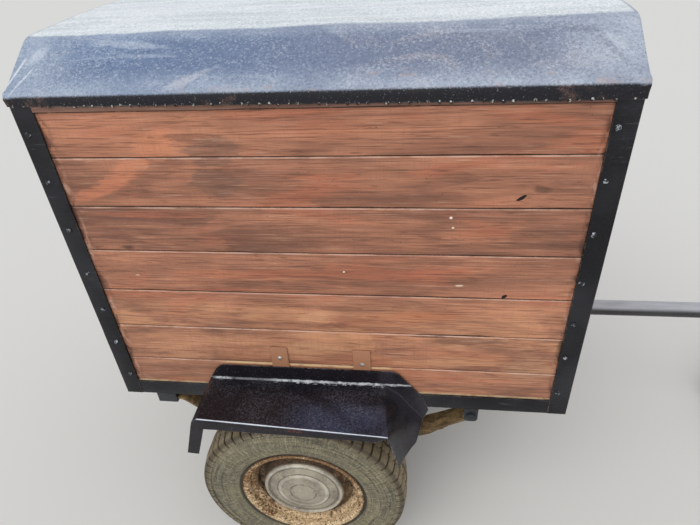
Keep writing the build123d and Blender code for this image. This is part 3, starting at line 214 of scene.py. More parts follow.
GROUPS = {"stage": TrailerStageSizes, "timber": TrailerTimberSizes, "frame": TrailerFrameSizes,
          "roof": TrailerRoofSizes, "guard": TrailerGuardSizes, "wheel": TrailerWheelSizes}


def look(context, name):
    """One of the scene's property groups, by its short name."""
    return getattr(context.scene, f"trailer_{name}")


# Mesh helpers

def mesh_of(name, points, faces):
    mesh = bpy.data.meshes.new(name)
    mesh.from_pydata([tuple(point) for point in points], [], faces)
    return mesh


def mesh_from(work, name):
    """The mesh of a bmesh, which is freed."""
    mesh = bpy.data.meshes.new(name)
    work.to_mesh(mesh)
    work.free()
    return mesh


def cleaned(mesh, sharp_angle=38, outward=True):
    """Merges doubles, turns the faces outwards and shades smooth, sharp above an angle."""
    merge = 1e-5
    work = bmesh.new()
    work.from_mesh(mesh)
    bmesh.ops.remove_doubles(work, verts=work.verts, dist=merge)
    bmesh.ops.dissolve_degenerate(work, edges=work.edges, dist=merge)
    if outward:
        bmesh.ops.recalc_face_normals(work, faces=work.faces)
    work.to_mesh(mesh)
    work.free()
    mesh.shade_smooth()
    mesh.set_sharp_from_angle(angle=math.radians(sharp_angle))
    return mesh


def lofted(name, rings, closed=True, capped=True):
    """Skins rings of points that all have the same count."""
    count = len(rings[0])
    faces = []
    for row in range(len(rings) - 1):
        for step in range(count if closed else count - 1):
            after = (step + 1) % count
            faces.append((row * count + step, row * count + after,
                          (row + 1) * count + after, (row + 1) * count + step))
    if capped:
        faces.append(tuple(reversed(range(count))))
        faces.append(tuple(range((len(rings) - 1) * count, len(rings) * count)))
    return mesh_of(name, [point for ring in rings for point in ring], faces)


def joined(name, meshes):
    """One mesh from several, without merging them."""
    work = bmesh.new()
    for mesh in meshes:
        work.from_mesh(mesh)
    return mesh_from(work, name)


def rounded(points, radii, steps=4, closed=True):
    """A 2-D outline with its corners turned into arcs, as a list of (a, b)."""
    made = []
    count = len(points)
    for index, point in enumerate(points):
        here = Vector(point)
        radius = radii[index] if isinstance(radii, (list, tuple)) else radii
        back = Vector(points[index - 1]) - here
        ahead = Vector(points[(index + 1) % count]) - here
        turn = 0 if radius <= 0 or (not closed and index in (0, count - 1)) else back.angle(-ahead)
        if turn < 1e-4:
            made.append(here)
            continue
        reach = min(radius * math.tan(turn / 2), 0.49 * back.length, 0.49 * ahead.length)
        start = here + back.normalized() * reach
        end = here + ahead.normalized() * reach
        for step in range(steps + 1):
            share = step / steps
            made.append((1 - share) ** 2 * start + 2 * share * (1 - share) * here + share ** 2 * end)
    return made


def run_lengths(line):
    """Length of a line of points up to each of them."""
    lengths = [0.0]
    for before, after in zip(line, line[1:]):
        lengths.append(lengths[-1] + (after - before).length)
    return lengths


def resampled(line, spacing):
    """Points along a 2-D line at an even spacing, its ends kept."""
    lengths = run_lengths(line)
    count = max(2, round(lengths[-1] / spacing))
    made = []
    index = 0
    for step in range(count + 1):
        target = lengths[-1] * step / count
        while index < len(lengths) - 2 and lengths[index + 1] < target:
            index += 1
        gap = lengths[index + 1] - lengths[index]
        share = 0 if gap == 0 else (target - lengths[index]) / gap
        made.append(line[index].lerp(line[index + 1], min(1.0, share)))
    return made


def normals_of(line):
    """A 2-D line's normal at each of its points."""
    last = len(line) - 1
    runs = [(line[min(k + 1, last)] - line[max(k - 1, 0)]).normalized() for k in range(last + 1)]
    return [Vector((-run.y, run.x)) for run in runs]


def stations(low, high, spacing):
    """Places from low to high, about a spacing apart."""
    count = max(2, round((high - low) / spacing))
    return [low + (high - low) * step / count for step in range(count + 1)]


def lathed(name, outline, side, steps, closed=True):
    """Turns (radius, outboard distance) points about the axle's line, at one wheel."""
    centre = wheel_centre(side)
    rings = []
    for step in range(steps):
        angle = 2 * math.pi * step / steps
        rings.append([Vector((centre.x + r * math.sin(angle), centre.y + side * w, centre.z + r * math.cos(angle)))
                      for r, w in map(Vector, outline)])
    rings.append(rings[0])
    return lofted(name, rings, closed=closed, capped=False)


def wheel_centre(side):
    return Vector((AXLE.x, side * WHEEL_Y, AXLE.z))


def spun(outline, sides):
    """Turns (radius, height) about Z into a closed solid, its poles on the axis."""
    work = bmesh.new()
    turns = [2 * math.pi * k / sides for k in range(sides)]
    rings = []
    for radius, height in outline:
        points = [(radius * math.cos(turn), radius * math.sin(turn)) for turn in turns] if radius > 1e-6 else [(0, 0)]
        rings.append([work.verts.new((x, y, height)) for x, y in points])
    for first, second in zip(rings, rings[1:]):
        for k in range(sides):
            after = (k + 1) % sides
            corners = (first[k % len(first)], first[after % len(first)],
                       second[after % len(second)], second[k % len(second)])
            unique = list(dict.fromkeys(corners))
            if len(unique) > 2:
                work.faces.new(unique)
    for ring in (rings[0], rings[-1]):
        if len(ring) > 1:
            work.faces.new(ring)
    bmesh.ops.recalc_face_normals(work, faces=work.faces)
    return cleaned(mesh_from(work, "spun"), 35)


def dome_mesh(radius, height, skirt=0.0016, sides=14, rings=5):
    """A round-headed screw's head, its edge sunk by skirt and closed below."""
    turns = [math.pi / 2 * step / rings for step in range(1, rings + 1)]
    outline = [(radius * math.sin(turn), height * math.cos(turn)) for turn in turns]
    return spun([(0.0, height), *outline, (radius, -skirt)], sides)


def hex_mesh(across_flats, height, bolt_radius, bolt_rise, washer_radius, washer):
    """A hexagon nut on a washer, with the bolt's rounded end through it."""
    corner = across_flats / math.sqrt(3)
    nut_top = height + washer
    top = nut_top + bolt_rise
    rings = (
        ([(0, washer), (washer_radius * 0.93, washer), (washer_radius, washer * 0.6), (washer_radius, -0.001),
          (0, -0.001)], 20),
        ([(0, nut_top), (corner * 0.86, nut_top), (corner, height * 0.86 + washer), (corner, washer * 0.5),
          (0, washer * 0.5)], 6),
        ([(0, top), (bolt_radius * 0.8, top), (bolt_radius, top - bolt_rise * 0.3), (bolt_radius, washer),
          (0, washer)], 12))
    return cleaned(joined("hex", [spun(outline, sides) for outline, sides in rings]), 30)


def box_mesh(name, low, high, bevel):
    """A block between two corners with rounded edges."""
    work = bmesh.new()
    bmesh.ops.create_cube(work, size=1.0)
    bmesh.ops.scale(work, vec=Vector(high) - Vector(low), verts=work.verts)
    bmesh.ops.translate(work, vec=(Vector(high) + Vector(low)) / 2, verts=work.verts)
    bmesh.ops.bevel(work, geom=list(work.edges), offset=bevel, segments=2, affect="EDGES", profile=0.5)
    return cleaned(mesh_from(work, name), 40)


def wave(x, y, z, seed):
    """Smooth noise from -1 to 1 at a place."""
    return noise.noise(Vector((x, y, z)) + Vector((seed * 7.31, seed * 3.17, seed * 5.73)))


def bead(start, end, radius, seed, spacing=0.003, around=7):
    """A rippled weld bead from one point to another."""
    start, end = Vector(start), Vector(end)
    run = end - start
    plane = run.to_track_quat("Z", "X").to_matrix()
    count = max(4, round(run.length / spacing))
    rings = []
    for step in range(count + 1):
        share = step / count
        fat = radius * (0.80 + 0.28 * abs(math.sin(share * count * 0.9)) + 0.16 * wave(share * 9, seed, 0, 2))
        if step in (0, count):
            fat *= 0.35
        drift = radius * 0.25 * wave(share * 6, seed, 5, 6)
        centre = start + run * share + plane @ Vector((drift, 0, 0))
        rings.append([centre + plane @ Vector((fat * math.cos(t), fat * math.sin(t), 0))
                      for t in (2 * math.pi * k / around for k in range(around))])
    return lofted("weld", rings)


def settled(obj):
    """Applies an object's modifiers, removes the object and returns the plain mesh."""
    bpy.context.view_layer.update()
    graph = bpy.context.evaluated_depsgraph_get()
    mesh = bpy.data.meshes.new_from_object(obj.evaluated_get(graph))
    bpy.data.objects.remove(obj)
    return mesh


def placed(name, data):
    """An object of some data, in the scene."""
    made = bpy.data.objects.new(name, data)
    bpy.context.scene.collection.objects.link(made)
    return made


def sheeted(name, mesh, thick):
    """Gives an open surface its thickness, inwards, and returns a plain mesh."""
    holder = placed(name, mesh)
    wall = holder.modifiers.new("wall", "SOLIDIFY")
    wall.thickness = thick
    wall.offset = -1.0
    wall.use_even_offset = True
    return settled(holder)


def piece(name, mesh, body, slot, material, *nodes):
    """Makes the object, gives it its finish, lets it ride on its body and take the place of CAD nodes."""
    if not mesh.polygons:
        raise RuntimeError(f"{name} has no faces")
    made = placed(name, mesh)
    if material is not None:
        mesh.materials.clear()
        mesh.materials.append(material)
    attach(made, body)
    if nodes:
        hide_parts(*nodes)
    return made


def group_piece(name, meshes, sharp_angle, body, slot, material, *nodes):
    """One piece from several meshes."""
    return piece(name, cleaned(joined(name, meshes), sharp_angle), body, slot, material, *nodes)


def dress(material, *names):
    """Puts a material on some of the frame's own nodes."""
    for name in names:
        materials = bpy.data.objects[name].data.materials
        materials.clear()
        materials.append(material)


# Geometry Nodes: one tree puts a pattern piece on marked points

def node(tree, kind, inputs=None, **settings):
    """Adds a node, sets its options and fills or links its inputs."""
    made = tree.nodes.new(kind)
    for name, value in settings.items():
        setattr(made, name, value)
    for key, value in (inputs or {}).items():
        if isinstance(value, bpy.types.NodeSocket):
            tree.links.new(value, made.inputs[key])
        else:
            made.inputs[key].default_value = value
    return made


def build_fixing_tree():
    tree = bpy.data.node_groups.new("Fixings on points", "GeometryNodeTree")
    sockets = tree.interface
    for name, kind in (("Geometry", "Geometry"), ("Pattern", "Object"), ("Smallest", "Float"), ("Largest", "Float"),
                       ("Spin", "Float"), ("Seed", "Int"), ("Finish", "Material")):
        sockets.new_socket(name, in_out="INPUT", socket_type="NodeSocket" + kind)
    sockets.new_socket("Geometry", in_out="OUTPUT", socket_type="NodeSocketGeometry")
    given = node(tree, "NodeGroupInput").outputs

    def random_from(low, high):
        """A random value for each point; the float sockets are the third and fourth, and the second comes out."""
        return node(tree, "FunctionNodeRandomValue", {2: low, 3: high, "Seed": given["Seed"]},
                    data_type="FLOAT").outputs[1]

    aim, along = (node(tree, "GeometryNodeInputNamedAttribute", {"Name": name}, data_type="FLOAT_VECTOR").outputs[0]
                  for name in ("aim", "along"))
    stand = node(tree, "FunctionNodeAlignRotationToVector", {"Vector": aim}, axis="Z")
    face = node(tree, "FunctionNodeAlignRotationToVector", {"Rotation": stand.outputs[0], "Vector": along},
                axis="X", pivot_axis="Z")
    spread = node(tree, "ShaderNodeMath", {0: given["Spin"], 1: -1.0}, operation="MULTIPLY")
    spin = node(tree, "FunctionNodeAxisAngleToRotation",
                {"Axis": (0, 0, 1), "Angle": random_from(spread.outputs[0], given["Spin"])})
    turned = node(tree, "FunctionNodeRotateRotation",
                  {"Rotation": face.outputs[0], "Rotate By": spin.outputs[0]}, rotation_space="LOCAL")
    pattern = node(tree, "GeometryNodeObjectInfo", {"Object": given["Pattern"]})
    copies = node(tree, "GeometryNodeInstanceOnPoints",
                  {"Points": given["Geometry"], "Instance": pattern.outputs["Geometry"],
                   "Rotation": turned.outputs[0], "Scale": random_from(given["Smallest"], given["Largest"])})
    real = node(tree, "GeometryNodeRealizeInstances", {"Geometry": copies.outputs[0]})
    finish = node(tree, "GeometryNodeSetMaterial", {"Geometry": real.outputs[0], "Material": given["Finish"]})
    node(tree, "NodeGroupOutput", {0: finish.outputs[0]})
    return tree


def fixings(name, spots, pattern_mesh, finish, body, slot, spread=0.08, spin=math.pi, seed=1):
    """Puts a pattern on spots, each (place, way out, way along), as one plain mesh."""
    tree = bpy.data.node_groups.get("Fixings on points") or build_fixing_tree()
    points = mesh_of(name, [spot[0] for spot in spots], [])
    for attribute, column in (("aim", 1), ("along", 2)):
        layer = points.attributes.new(attribute, "FLOAT_VECTOR", "POINT")
        layer.data.foreach_set("vector", [value for spot in spots for value in spot[column]])
    holder, pattern = placed(name, points), placed(name + ".pattern", pattern_mesh)
    modifier = holder.modifiers.new("fixings", "NODES")
    modifier.node_group = tree
    values = {"Pattern": pattern, "Smallest": 1 - spread, "Largest": 1 + spread, "Spin": spin, "Seed": seed,
              "Finish": finish}
    for item in tree.interface.items_tree:
        if item.in_out == "INPUT" and item.name in values:
            modifier[item.identifier] = values[item.name]
    mesh = settled(holder)
    bpy.data.objects.remove(pattern)
    for attribute in ("aim", "along"):
        if attribute in mesh.attributes:
            mesh.attributes.remove(mesh.attributes[attribute])
    return piece(name, mesh, body, slot, None)


def spot(place, aim, along=(1, 0, 0)):
    return (Vector(place), Vector(aim), Vector(along))


# Shader helpers

def opaque(value):
    """A colour with its alpha; anything else is passed through."""
    return value if isinstance(value, (bpy.types.NodeSocket, int, float)) else (*value[:3], 1.0)


class Net:
    """A node tree with short ways to add nodes.

    Where a value is asked for, (value, low, high, at low, at high) stands for that value eased by span().
    """

    def __init__(self, tree):
        self.tree = tree

    def add(self, kind, inputs=None, **settings):
        return node(self.tree, kind, inputs, **settings)

    def fill(self, sockets, values):
        """Links or sets inputs by name, with underscores for a name's spaces."""
        for key, value in values.items():
            target = sockets[key.replace("_", " ")]
            if isinstance(value, bpy.types.NodeSocket):
                self.tree.links.new(value, target)
            else:
                target.default_value = opaque(value) if target.type == "RGBA" else value

    def maths(self, operation, *values, clamp=False):
        """Folds two or more values with one operation."""
        first, *others = map(self.eased, values)
        for other in others or (0.0,):
            first = self.add("ShaderNodeMath", {0: first, 1: other}, operation=operation, use_clamp=clamp).outputs[0]
        return first

    def eased(self, value):
        return self.span(*value) if isinstance(value, tuple) else value

    def times(self, *values):
        return self.maths("MULTIPLY", *values) if len(values) > 1 else self.eased(values[0])

    def plus(self, *values):
        return self.maths("ADD", *values)

    def minus(self, first, second):
        return self.maths("SUBTRACT", first, second)

    def most(self, *values):
        return self.maths("MAXIMUM", *values)

    def span(self, value, low, high, to_low=0.0, to_high=1.0):
        """Eases a value from one range to another, clamped at both ends."""
        return self.add("ShaderNodeMapRange", {0: value, 1: low, 2: high, 3: to_low, 4: to_high},
                        interpolation_type="SMOOTHSTEP", clamp=True).outputs[0]

    def near(self, value, target, half, soft):
        """1 where a value lies within half of a target, easing off over soft."""
        return self.span(self.maths("ABSOLUTE", self.minus(value, target)), half, half + soft, 1.0, 0.0)

    def noise(self, scale, detail=4.0, roughness=0.55, distortion=0.0, at=None):
        """Noise of one scale, or of one scale for each axis."""
        at = at or self.place
        if isinstance(scale, tuple):
            at, scale = self.vector("MULTIPLY_ADD", at, scale, (0, 0, 0)), 1.0
        return self.add("ShaderNodeTexNoise", {"Vector": at, "Scale": scale, "Detail": detail,
                                               "Roughness": roughness, "Distortion": distortion}).outputs[0]

    def cells(self, scale, at=None):
        return self.add("ShaderNodeTexVoronoi", {"Vector": at or self.place, "Scale": scale},
                        feature="F1").outputs["Distance"]

    def layers(self, base, *coats):
        """Lays coats over a base, each (tone, mask, mask ...), through the product of its masks."""
        for tone, *masks in coats:
            base = self.add("ShaderNodeMix", {0: self.times(*masks), 6: opaque(base), 7: opaque(shade(tone))},
                            data_type="RGBA").outputs[2]
        return base

    def vector(self, operation, *values):
        return self.add("ShaderNodeVectorMath", dict(enumerate(values)), operation=operation).outputs[0]

    def axes(self, vector=None):
        """X, Y and Z of a vector."""
        return self.add("ShaderNodeSeparateXYZ", {0: vector or self.place}).outputs

    def facing_up(self):
        return self.axes(self.add("ShaderNodeNewGeometry").outputs["Normal"])[2]

    def group(self, name, **inputs):
        """Places a node group on the object's coordinates, unless it is given others."""
        made = self.add("ShaderNodeGroup", node_tree=bpy.data.node_groups[name])
        self.fill(made.inputs, {"Vector": self.place, **inputs})
        return made.outputs

    def marks(self, marks):
        """Brush marks as coats, each from (tone, x, z, half length, half height, tilt, crispness, strength)."""
        return [(tone, self.group("Brush mark", Centre=(x, 0, z), Half_size=(half_x, 1.0, half_z),
                                  Tilt=math.radians(tilt), Crispness=crispness, Strength=strength)["Mask"])
                for tone, x, z, half_x, half_z, tilt, crispness, strength in marks]


class Finish(Net):
    """A new material's net on the object's coordinates."""

    def __init__(self, name):
        self.made = bpy.data.materials.new(name)
        self.made.use_nodes = True
        super().__init__(self.made.node_tree)
        self.place = self.add("ShaderNodeTexCoord").outputs["Object"]

    def done(self, bump, **sources):
        """Feeds the principled shader, with a bump as (height, strength, distance), and returns the material."""
        shader = self.made.node_tree.nodes["Principled BSDF"]
        self.fill(shader.inputs, sources)
        if bump:
            height, strength, distance = bump
            made = self.add("ShaderNodeBump", {"Height": height, "Strength": strength, "Distance": distance})
            self.fill(shader.inputs, {"Normal": made.outputs[0]})
        return self.made


# Shader node groups: effects that more than one finish uses

def new_group(name, outputs, **inputs):
    """A shader node group. A default of four numbers makes a colour socket, one of three a vector socket."""
    tree = bpy.data.node_groups.new(name, "ShaderNodeTree")
    sockets = tree.interface
    sockets.new_socket("Vector", in_out="INPUT", socket_type="NodeSocketVector")
    for title, value in inputs.items():
        kind = {4: "Color", 3: "Vector"}[len(value)] if isinstance(value, tuple) else "Float"
        made = sockets.new_socket(title.replace("_", " "), in_out="INPUT", socket_type="NodeSocket" + kind)
        made.default_value = value
    for title in outputs:
        kind = "Color" if title == "Colour" else "Float"
        sockets.new_socket(title, in_out="OUTPUT", socket_type="NodeSocket" + kind)
    net = Net(tree)
    given = net.add("NodeGroupInput").outputs
    net.place = given["Vector"]
    return net, given, net.add("NodeGroupOutput").inputs


def build_wood_group():
    """Sawn softwood under brushed stain: rings, hairline grain, saw marks, brush laps, knots, and a painted highlight
    along each top arris that is partly worn pale timber.
    """
    net, given, result = new_group(
        "Stained timber", ("Colour", "Grain", "Flecks", "Arris", "Groove", "Roughness", "Height"),
        Row_height=0.112, First_row=0.523, Bright=(0.45, 0.14, 0.06, 1.0), Dark=(0.15, 0.05, 0.02, 1.0),
        Dirt=(0.02, 0.01, 0.01, 1.0))
    row_share = net.maths("DIVIDE", net.minus(net.axes()[2], given["First row"]), given["Row height"])
    row, share = net.maths("FLOOR", row_share), net.maths("FRACT", row_share)
    seed = net.add("ShaderNodeTexWhiteNoise", {"W": row}, noise_dimensions="1D").outputs[0]
    shift = net.add("ShaderNodeCombineXYZ", {0: net.times(seed, 37.0), 1: row, 2: seed}).outputs[0]
    net.place = net.vector("ADD", given["Vector"], shift)
    knot = net.cells(1.0, net.vector("MULTIPLY_ADD", net.place, (2.1, 0.0, 5.2), (0, 0, 0)))
    broad = net.noise((0.9, 1.0, 8.5), 2.0, 0.45, 0.35)
    ring_value = net.plus(broad, net.times((knot, 0.0, 0.32, 1.0, 0.0), 0.16))
    rings = net.maths("PINGPONG", net.times(ring_value, 25.0), 1.0)
    hair = net.noise((9.0, 60.0, 420.0), 4.0, 0.66, 0.10)
    wisp = net.noise((15.0, 90.0, 150.0), 3.0, 0.6, 0.4)
    streak = net.noise((2.6, 20.0, 62.0), 3.0, 0.6, 0.5)
    patch = net.noise((2.8, 3.0, 7.0), 3.0, 0.6, 0.6)
    laps = net.noise((3.0, 3.0, 14.0), 2.5, 0.5, 1.0)
    saw = net.noise((210.0, 4.0, 9.0), 2.0, 0.5)
    tone = net.plus(net.times(patch, 0.95), net.times(streak, 0.70), net.times(net.minus(seed, 0.5), 0.16))
    core = net.span(knot, 0.022, 0.050, 1.0, 0.0)
    foot = net.maths("MINIMUM", net.times(share, 0.75), net.minus(1.0, share))
    net.fill(result, {
        "Colour": net.layers(given["Dark"], (given["Bright"], (tone, 0.52, 1.14)),
                             (given["Dark"], (laps, 0.54, 0.60, 0.0, 0.26)),
                             (given["Bright"], (laps, 0.37, 0.43, 0.34, 0.0)), (given["Dirt"], core, 0.8)),
        "Grain": net.most((hair, 0.33, 0.50, 0.85, 0.0), (rings, 0.72, 1.0, 0.0, 0.26), (wisp, 0.30, 0.41, 0.70, 0.0),
                          net.times((saw, 0.50, 0.66), (patch, 0.42, 0.60, 0.0, 0.20)),
                          net.times((net.cells(60.0), 0.06, 0.10, 1.0, 0.0), (net.noise(7.0, 2.0), 0.52, 0.60))),
        "Flecks": net.most(net.times((hair, 0.53, 0.68), (wisp, 0.45, 0.62)),
                           net.times((net.cells(80.0), 0.05, 0.09, 1.0, 0.0), (net.noise(8.0, 2.0), 0.54, 0.62))),
        # Arris: a painted highlight along each board's top arris, partly worn pale timber.
        "Arris": net.times(net.times((share, 0.954, 0.976), (share, 0.990, 0.998, 1.0, 0.0)),
                           (net.noise((16.0, 9.0, 30.0), 4.0, 0.7), 0.36, 0.62, 0.25, 1.0)),
        "Groove": net.span(foot, 0.002, 0.013, 1.0, 0.0),
        "Roughness": net.span(streak, 0.3, 0.7, 0.46, 0.66),
        "Height": net.minus(net.times(hair, 0.8), net.times(core, 0.5))})


def build_effect_groups():
    """Brush mark: a tilted oval with a crisp, uneven border. Settled dust: on faces that look up, in grains and
    blotches. Worn edges: where a rounded normal differs from the face's own. Scuffs: fine broken lines."""
    net, given, result = new_group("Brush mark", ("Mask",), Centre=(0, 0, 0), Half_size=(0.05, 1, 0.05), Tilt=0.0,
                                   Crispness=0.8, Strength=1.0)
    turned = net.add("ShaderNodeVectorRotate",
                     {"Vector": net.vector("SUBTRACT", net.place, given["Centre"]), "Axis": (0, 1, 0),
                      "Angle": given["Tilt"]}, rotation_type="AXIS_ANGLE").outputs[0]
    x, _, z = net.axes(net.vector("DIVIDE", turned, given["Half size"]))
    ragged = net.plus(net.times(net.noise((14.0, 14.0, 40.0), 4.0, 0.6, 0.8), 1.1),
                      net.times(net.noise((40.0, 40.0, 320.0), 3.0, 0.6), 0.8))
    reach = net.plus(net.maths("SQRT", net.plus(net.times(x, x), net.times(z, z))), net.minus(ragged, 0.95))
    net.fill(result, {"Mask": net.times((reach, given["Crispness"], 1.0, 1.0, 0.0), given["Strength"])})

    net, given, result = new_group("Settled dust", ("Mask",), Grain=220.0, Blotch=6.0, Amount=0.5, Everywhere=0.25)
    mask = net.times((net.noise(given["Grain"], 3.0, 0.7), 0.42, 0.66),
                     (net.noise(given["Blotch"], 4.0, 0.6, 0.3), 0.36, 0.66),
                     (net.facing_up(), -0.1, 0.9, given["Everywhere"], 1.0))
    net.fill(result, {"Mask": net.maths("MULTIPLY", mask, given["Amount"], clamp=True)})

    net, given, result = new_group("Worn edges", ("Mask",), Radius=0.003, Breakup=90.0, Amount=0.5)
    soft = net.add("ShaderNodeBevel", {"Radius": given["Radius"]}, samples=4).outputs[0]
    face = net.add("ShaderNodeNewGeometry").outputs["Normal"]
    alike = net.add("ShaderNodeVectorMath", {0: soft, 1: face}, operation="DOT_PRODUCT").outputs["Value"]
    mask = net.times((net.minus(1.0, alike), 0.004, 0.07), (net.noise(given["Breakup"], 4.0, 0.65), 0.40, 0.60),
                     (net.noise(11.0, 2.0), 0.38, 0.62))
    net.fill(result, {"Mask": net.maths("MULTIPLY", mask, given["Amount"], clamp=True)})

    net, given, result = new_group("Scuffs", ("Mask",), Stretch=(12.0, 40.0, 160.0), Amount=0.5)
    lines = net.vector("MULTIPLY", net.place, given["Stretch"])
    mask = net.times((net.noise(1.0, 4.0, 0.7, 0.6, lines), 0.60, 0.68), (net.noise(7.0, 3.0), 0.45, 0.62))
    net.fill(result, {"Mask": net.maths("MULTIPLY", mask, given["Amount"], clamp=True)})


# Finishes. Marks are (tone, x, z, half length, half height, tilt in degrees, crispness, strength); the small ones,
# knots, filler and chips, lie over the grain.

SMALL_MARK = 0.012
RIGHT_WALL_MARKS = (
    ((206, 136, 104), -0.930, 1.240, 0.190, 0.055, 4, 0.10, 0.50),
    ((216, 142, 106), -0.823, 1.222, 0.062, 0.040, 18, 0.45, 0.80),
    ((214, 140, 106), -0.885, 1.182, 0.080, 0.026, 34, 0.45, 0.70),
    ((208, 132, 98), -0.962, 1.128, 0.110, 0.020, 22, 0.45, 0.75),
    ((134, 98, 82), -0.712, 1.206, 0.066, 0.032, 8, 0.75, 0.62),
    ((124, 90, 76), -0.712, 1.136, 0.062, 0.032, 0, 0.75, 0.68),
    ((190, 118, 88), -0.470, 1.250, 0.150, 0.024, 2, 0.10, 0.50),
    ((198, 140, 110), -0.900, 0.690, 0.075, 0.026, 6, 0.30, 0.60),
    ((196, 128, 96), -0.880, 0.812, 0.045, 0.034, 40, 0.40, 0.60),
    ((222, 166, 128), -0.540, 0.790, 0.075, 0.022, 10, 0.30, 0.75),
    ((202, 150, 114), -0.565, 0.690, 0.130, 0.026, 4, 0.30, 0.60),
    ((196, 124, 88), -0.300, 0.800, 0.180, 0.026, 3, 0.20, 0.65),
    ((190, 118, 90), -0.490, 1.140, 0.080, 0.022, -6, 0.20, 0.55),
    ((186, 108, 80), -0.250, 0.925, 0.130, 0.022, 4, 0.20, 0.55),
    ((184, 112, 84), -0.180, 1.030, 0.120, 0.022, 6, 0.20, 0.45),
    ((84, 56, 42), -0.232, 0.746, 0.120, 0.006, 2, 0.70, 0.85),
    ((118, 82, 66), -0.190, 0.730, 0.110, 0.014, 3, 0.60, 0.65),
    ((180, 136, 106), -0.040, 0.650, 0.058, 0.040, 0, 0.80, 0.55),
    ((124, 88, 72), -0.060, 1.020, 0.075, 0.028, 4, 0.60, 0.50),
    ((128, 92, 76), -0.650, 0.975, 0.120, 0.022, 2, 0.30, 0.50),
    ((104, 72, 56), -0.072, 1.124, 0.024, 0.011, -8, 0.40, 0.75),
    ((16, 11, 10), -0.107, 1.107, 0.0105, 0.0042, 32, 0.80, 1.0),
    ((20, 14, 12), -0.116, 0.866, 0.0064, 0.0038, 30, 0.80, 1.0),
    ((236, 226, 212), -0.2397, 1.0618, 0.0034, 0.0030, 0, 0.80, 1.0),
    ((236, 222, 204), -0.2346, 1.0388, 0.0030, 0.0025, 0, 0.80, 0.9),
    ((232, 212, 190), -0.2144, 0.8926, 0.0085, 0.0020, 4, 0.80, 0.85),
    ((238, 224, 206), -0.4652, 0.9236, 0.0038, 0.0032, 0, 0.80, 0.9),
    ((222, 190, 160), -0.955, 0.9030, 0.0100, 0.0030, 0, 0.40, 0.8),
    ((214, 176, 150), -0.700, 0.7440, 0.0110, 0.0030, 0, 0.40, 0.8),
)
LEFT_WALL_MARKS = (
    ((206, 132, 100), -0.300, 1.180, 0.090, 0.030, 20, 0.45, 0.60),
    ((128, 92, 78), -0.520, 0.960, 0.080, 0.034, 0, 0.60, 0.55),
    ((194, 136, 106), -0.780, 0.800, 0.110, 0.026, -6, 0.30, 0.55),
    ((106, 74, 58), -0.640, 1.120, 0.020, 0.010, 8, 0.40, 0.70),
    ((18, 12, 10), -0.350, 0.840, 0.0070, 0.0040, 24, 0.80, 1.0),
)
# The roof's marks are painted light: shade and highlights of the dents and creases, and pale patches of painted
# reflection.
ROOF_PAINTED_LIGHT = (
    ((120, 126, 142), 0.020, 1.366, 0.036, 0.006, -40, 0.40, 0.50),
    ((206, 212, 222), 0.026, 1.376, 0.036, 0.005, -36, 0.30, 0.30),
    ((118, 124, 142), -0.030, 1.392, 0.060, 0.007, -4, 0.40, 0.55),
    ((222, 228, 234), -1.092, 1.356, 0.034, 0.0028, 62, 0.60, 0.70),
    ((222, 228, 234), -1.072, 1.346, 0.030, 0.0024, 48, 0.60, 0.60),
    ((206, 214, 224), -1.060, 1.378, 0.034, 0.0140, 30, 0.20, 0.50),
    ((176, 186, 202), -0.880, 1.392, 0.110, 0.0070, -4, 0.40, 0.60),
    ((188, 192, 202), -0.740, 1.340, 0.060, 0.0070, 16, 0.40, 0.55),
)


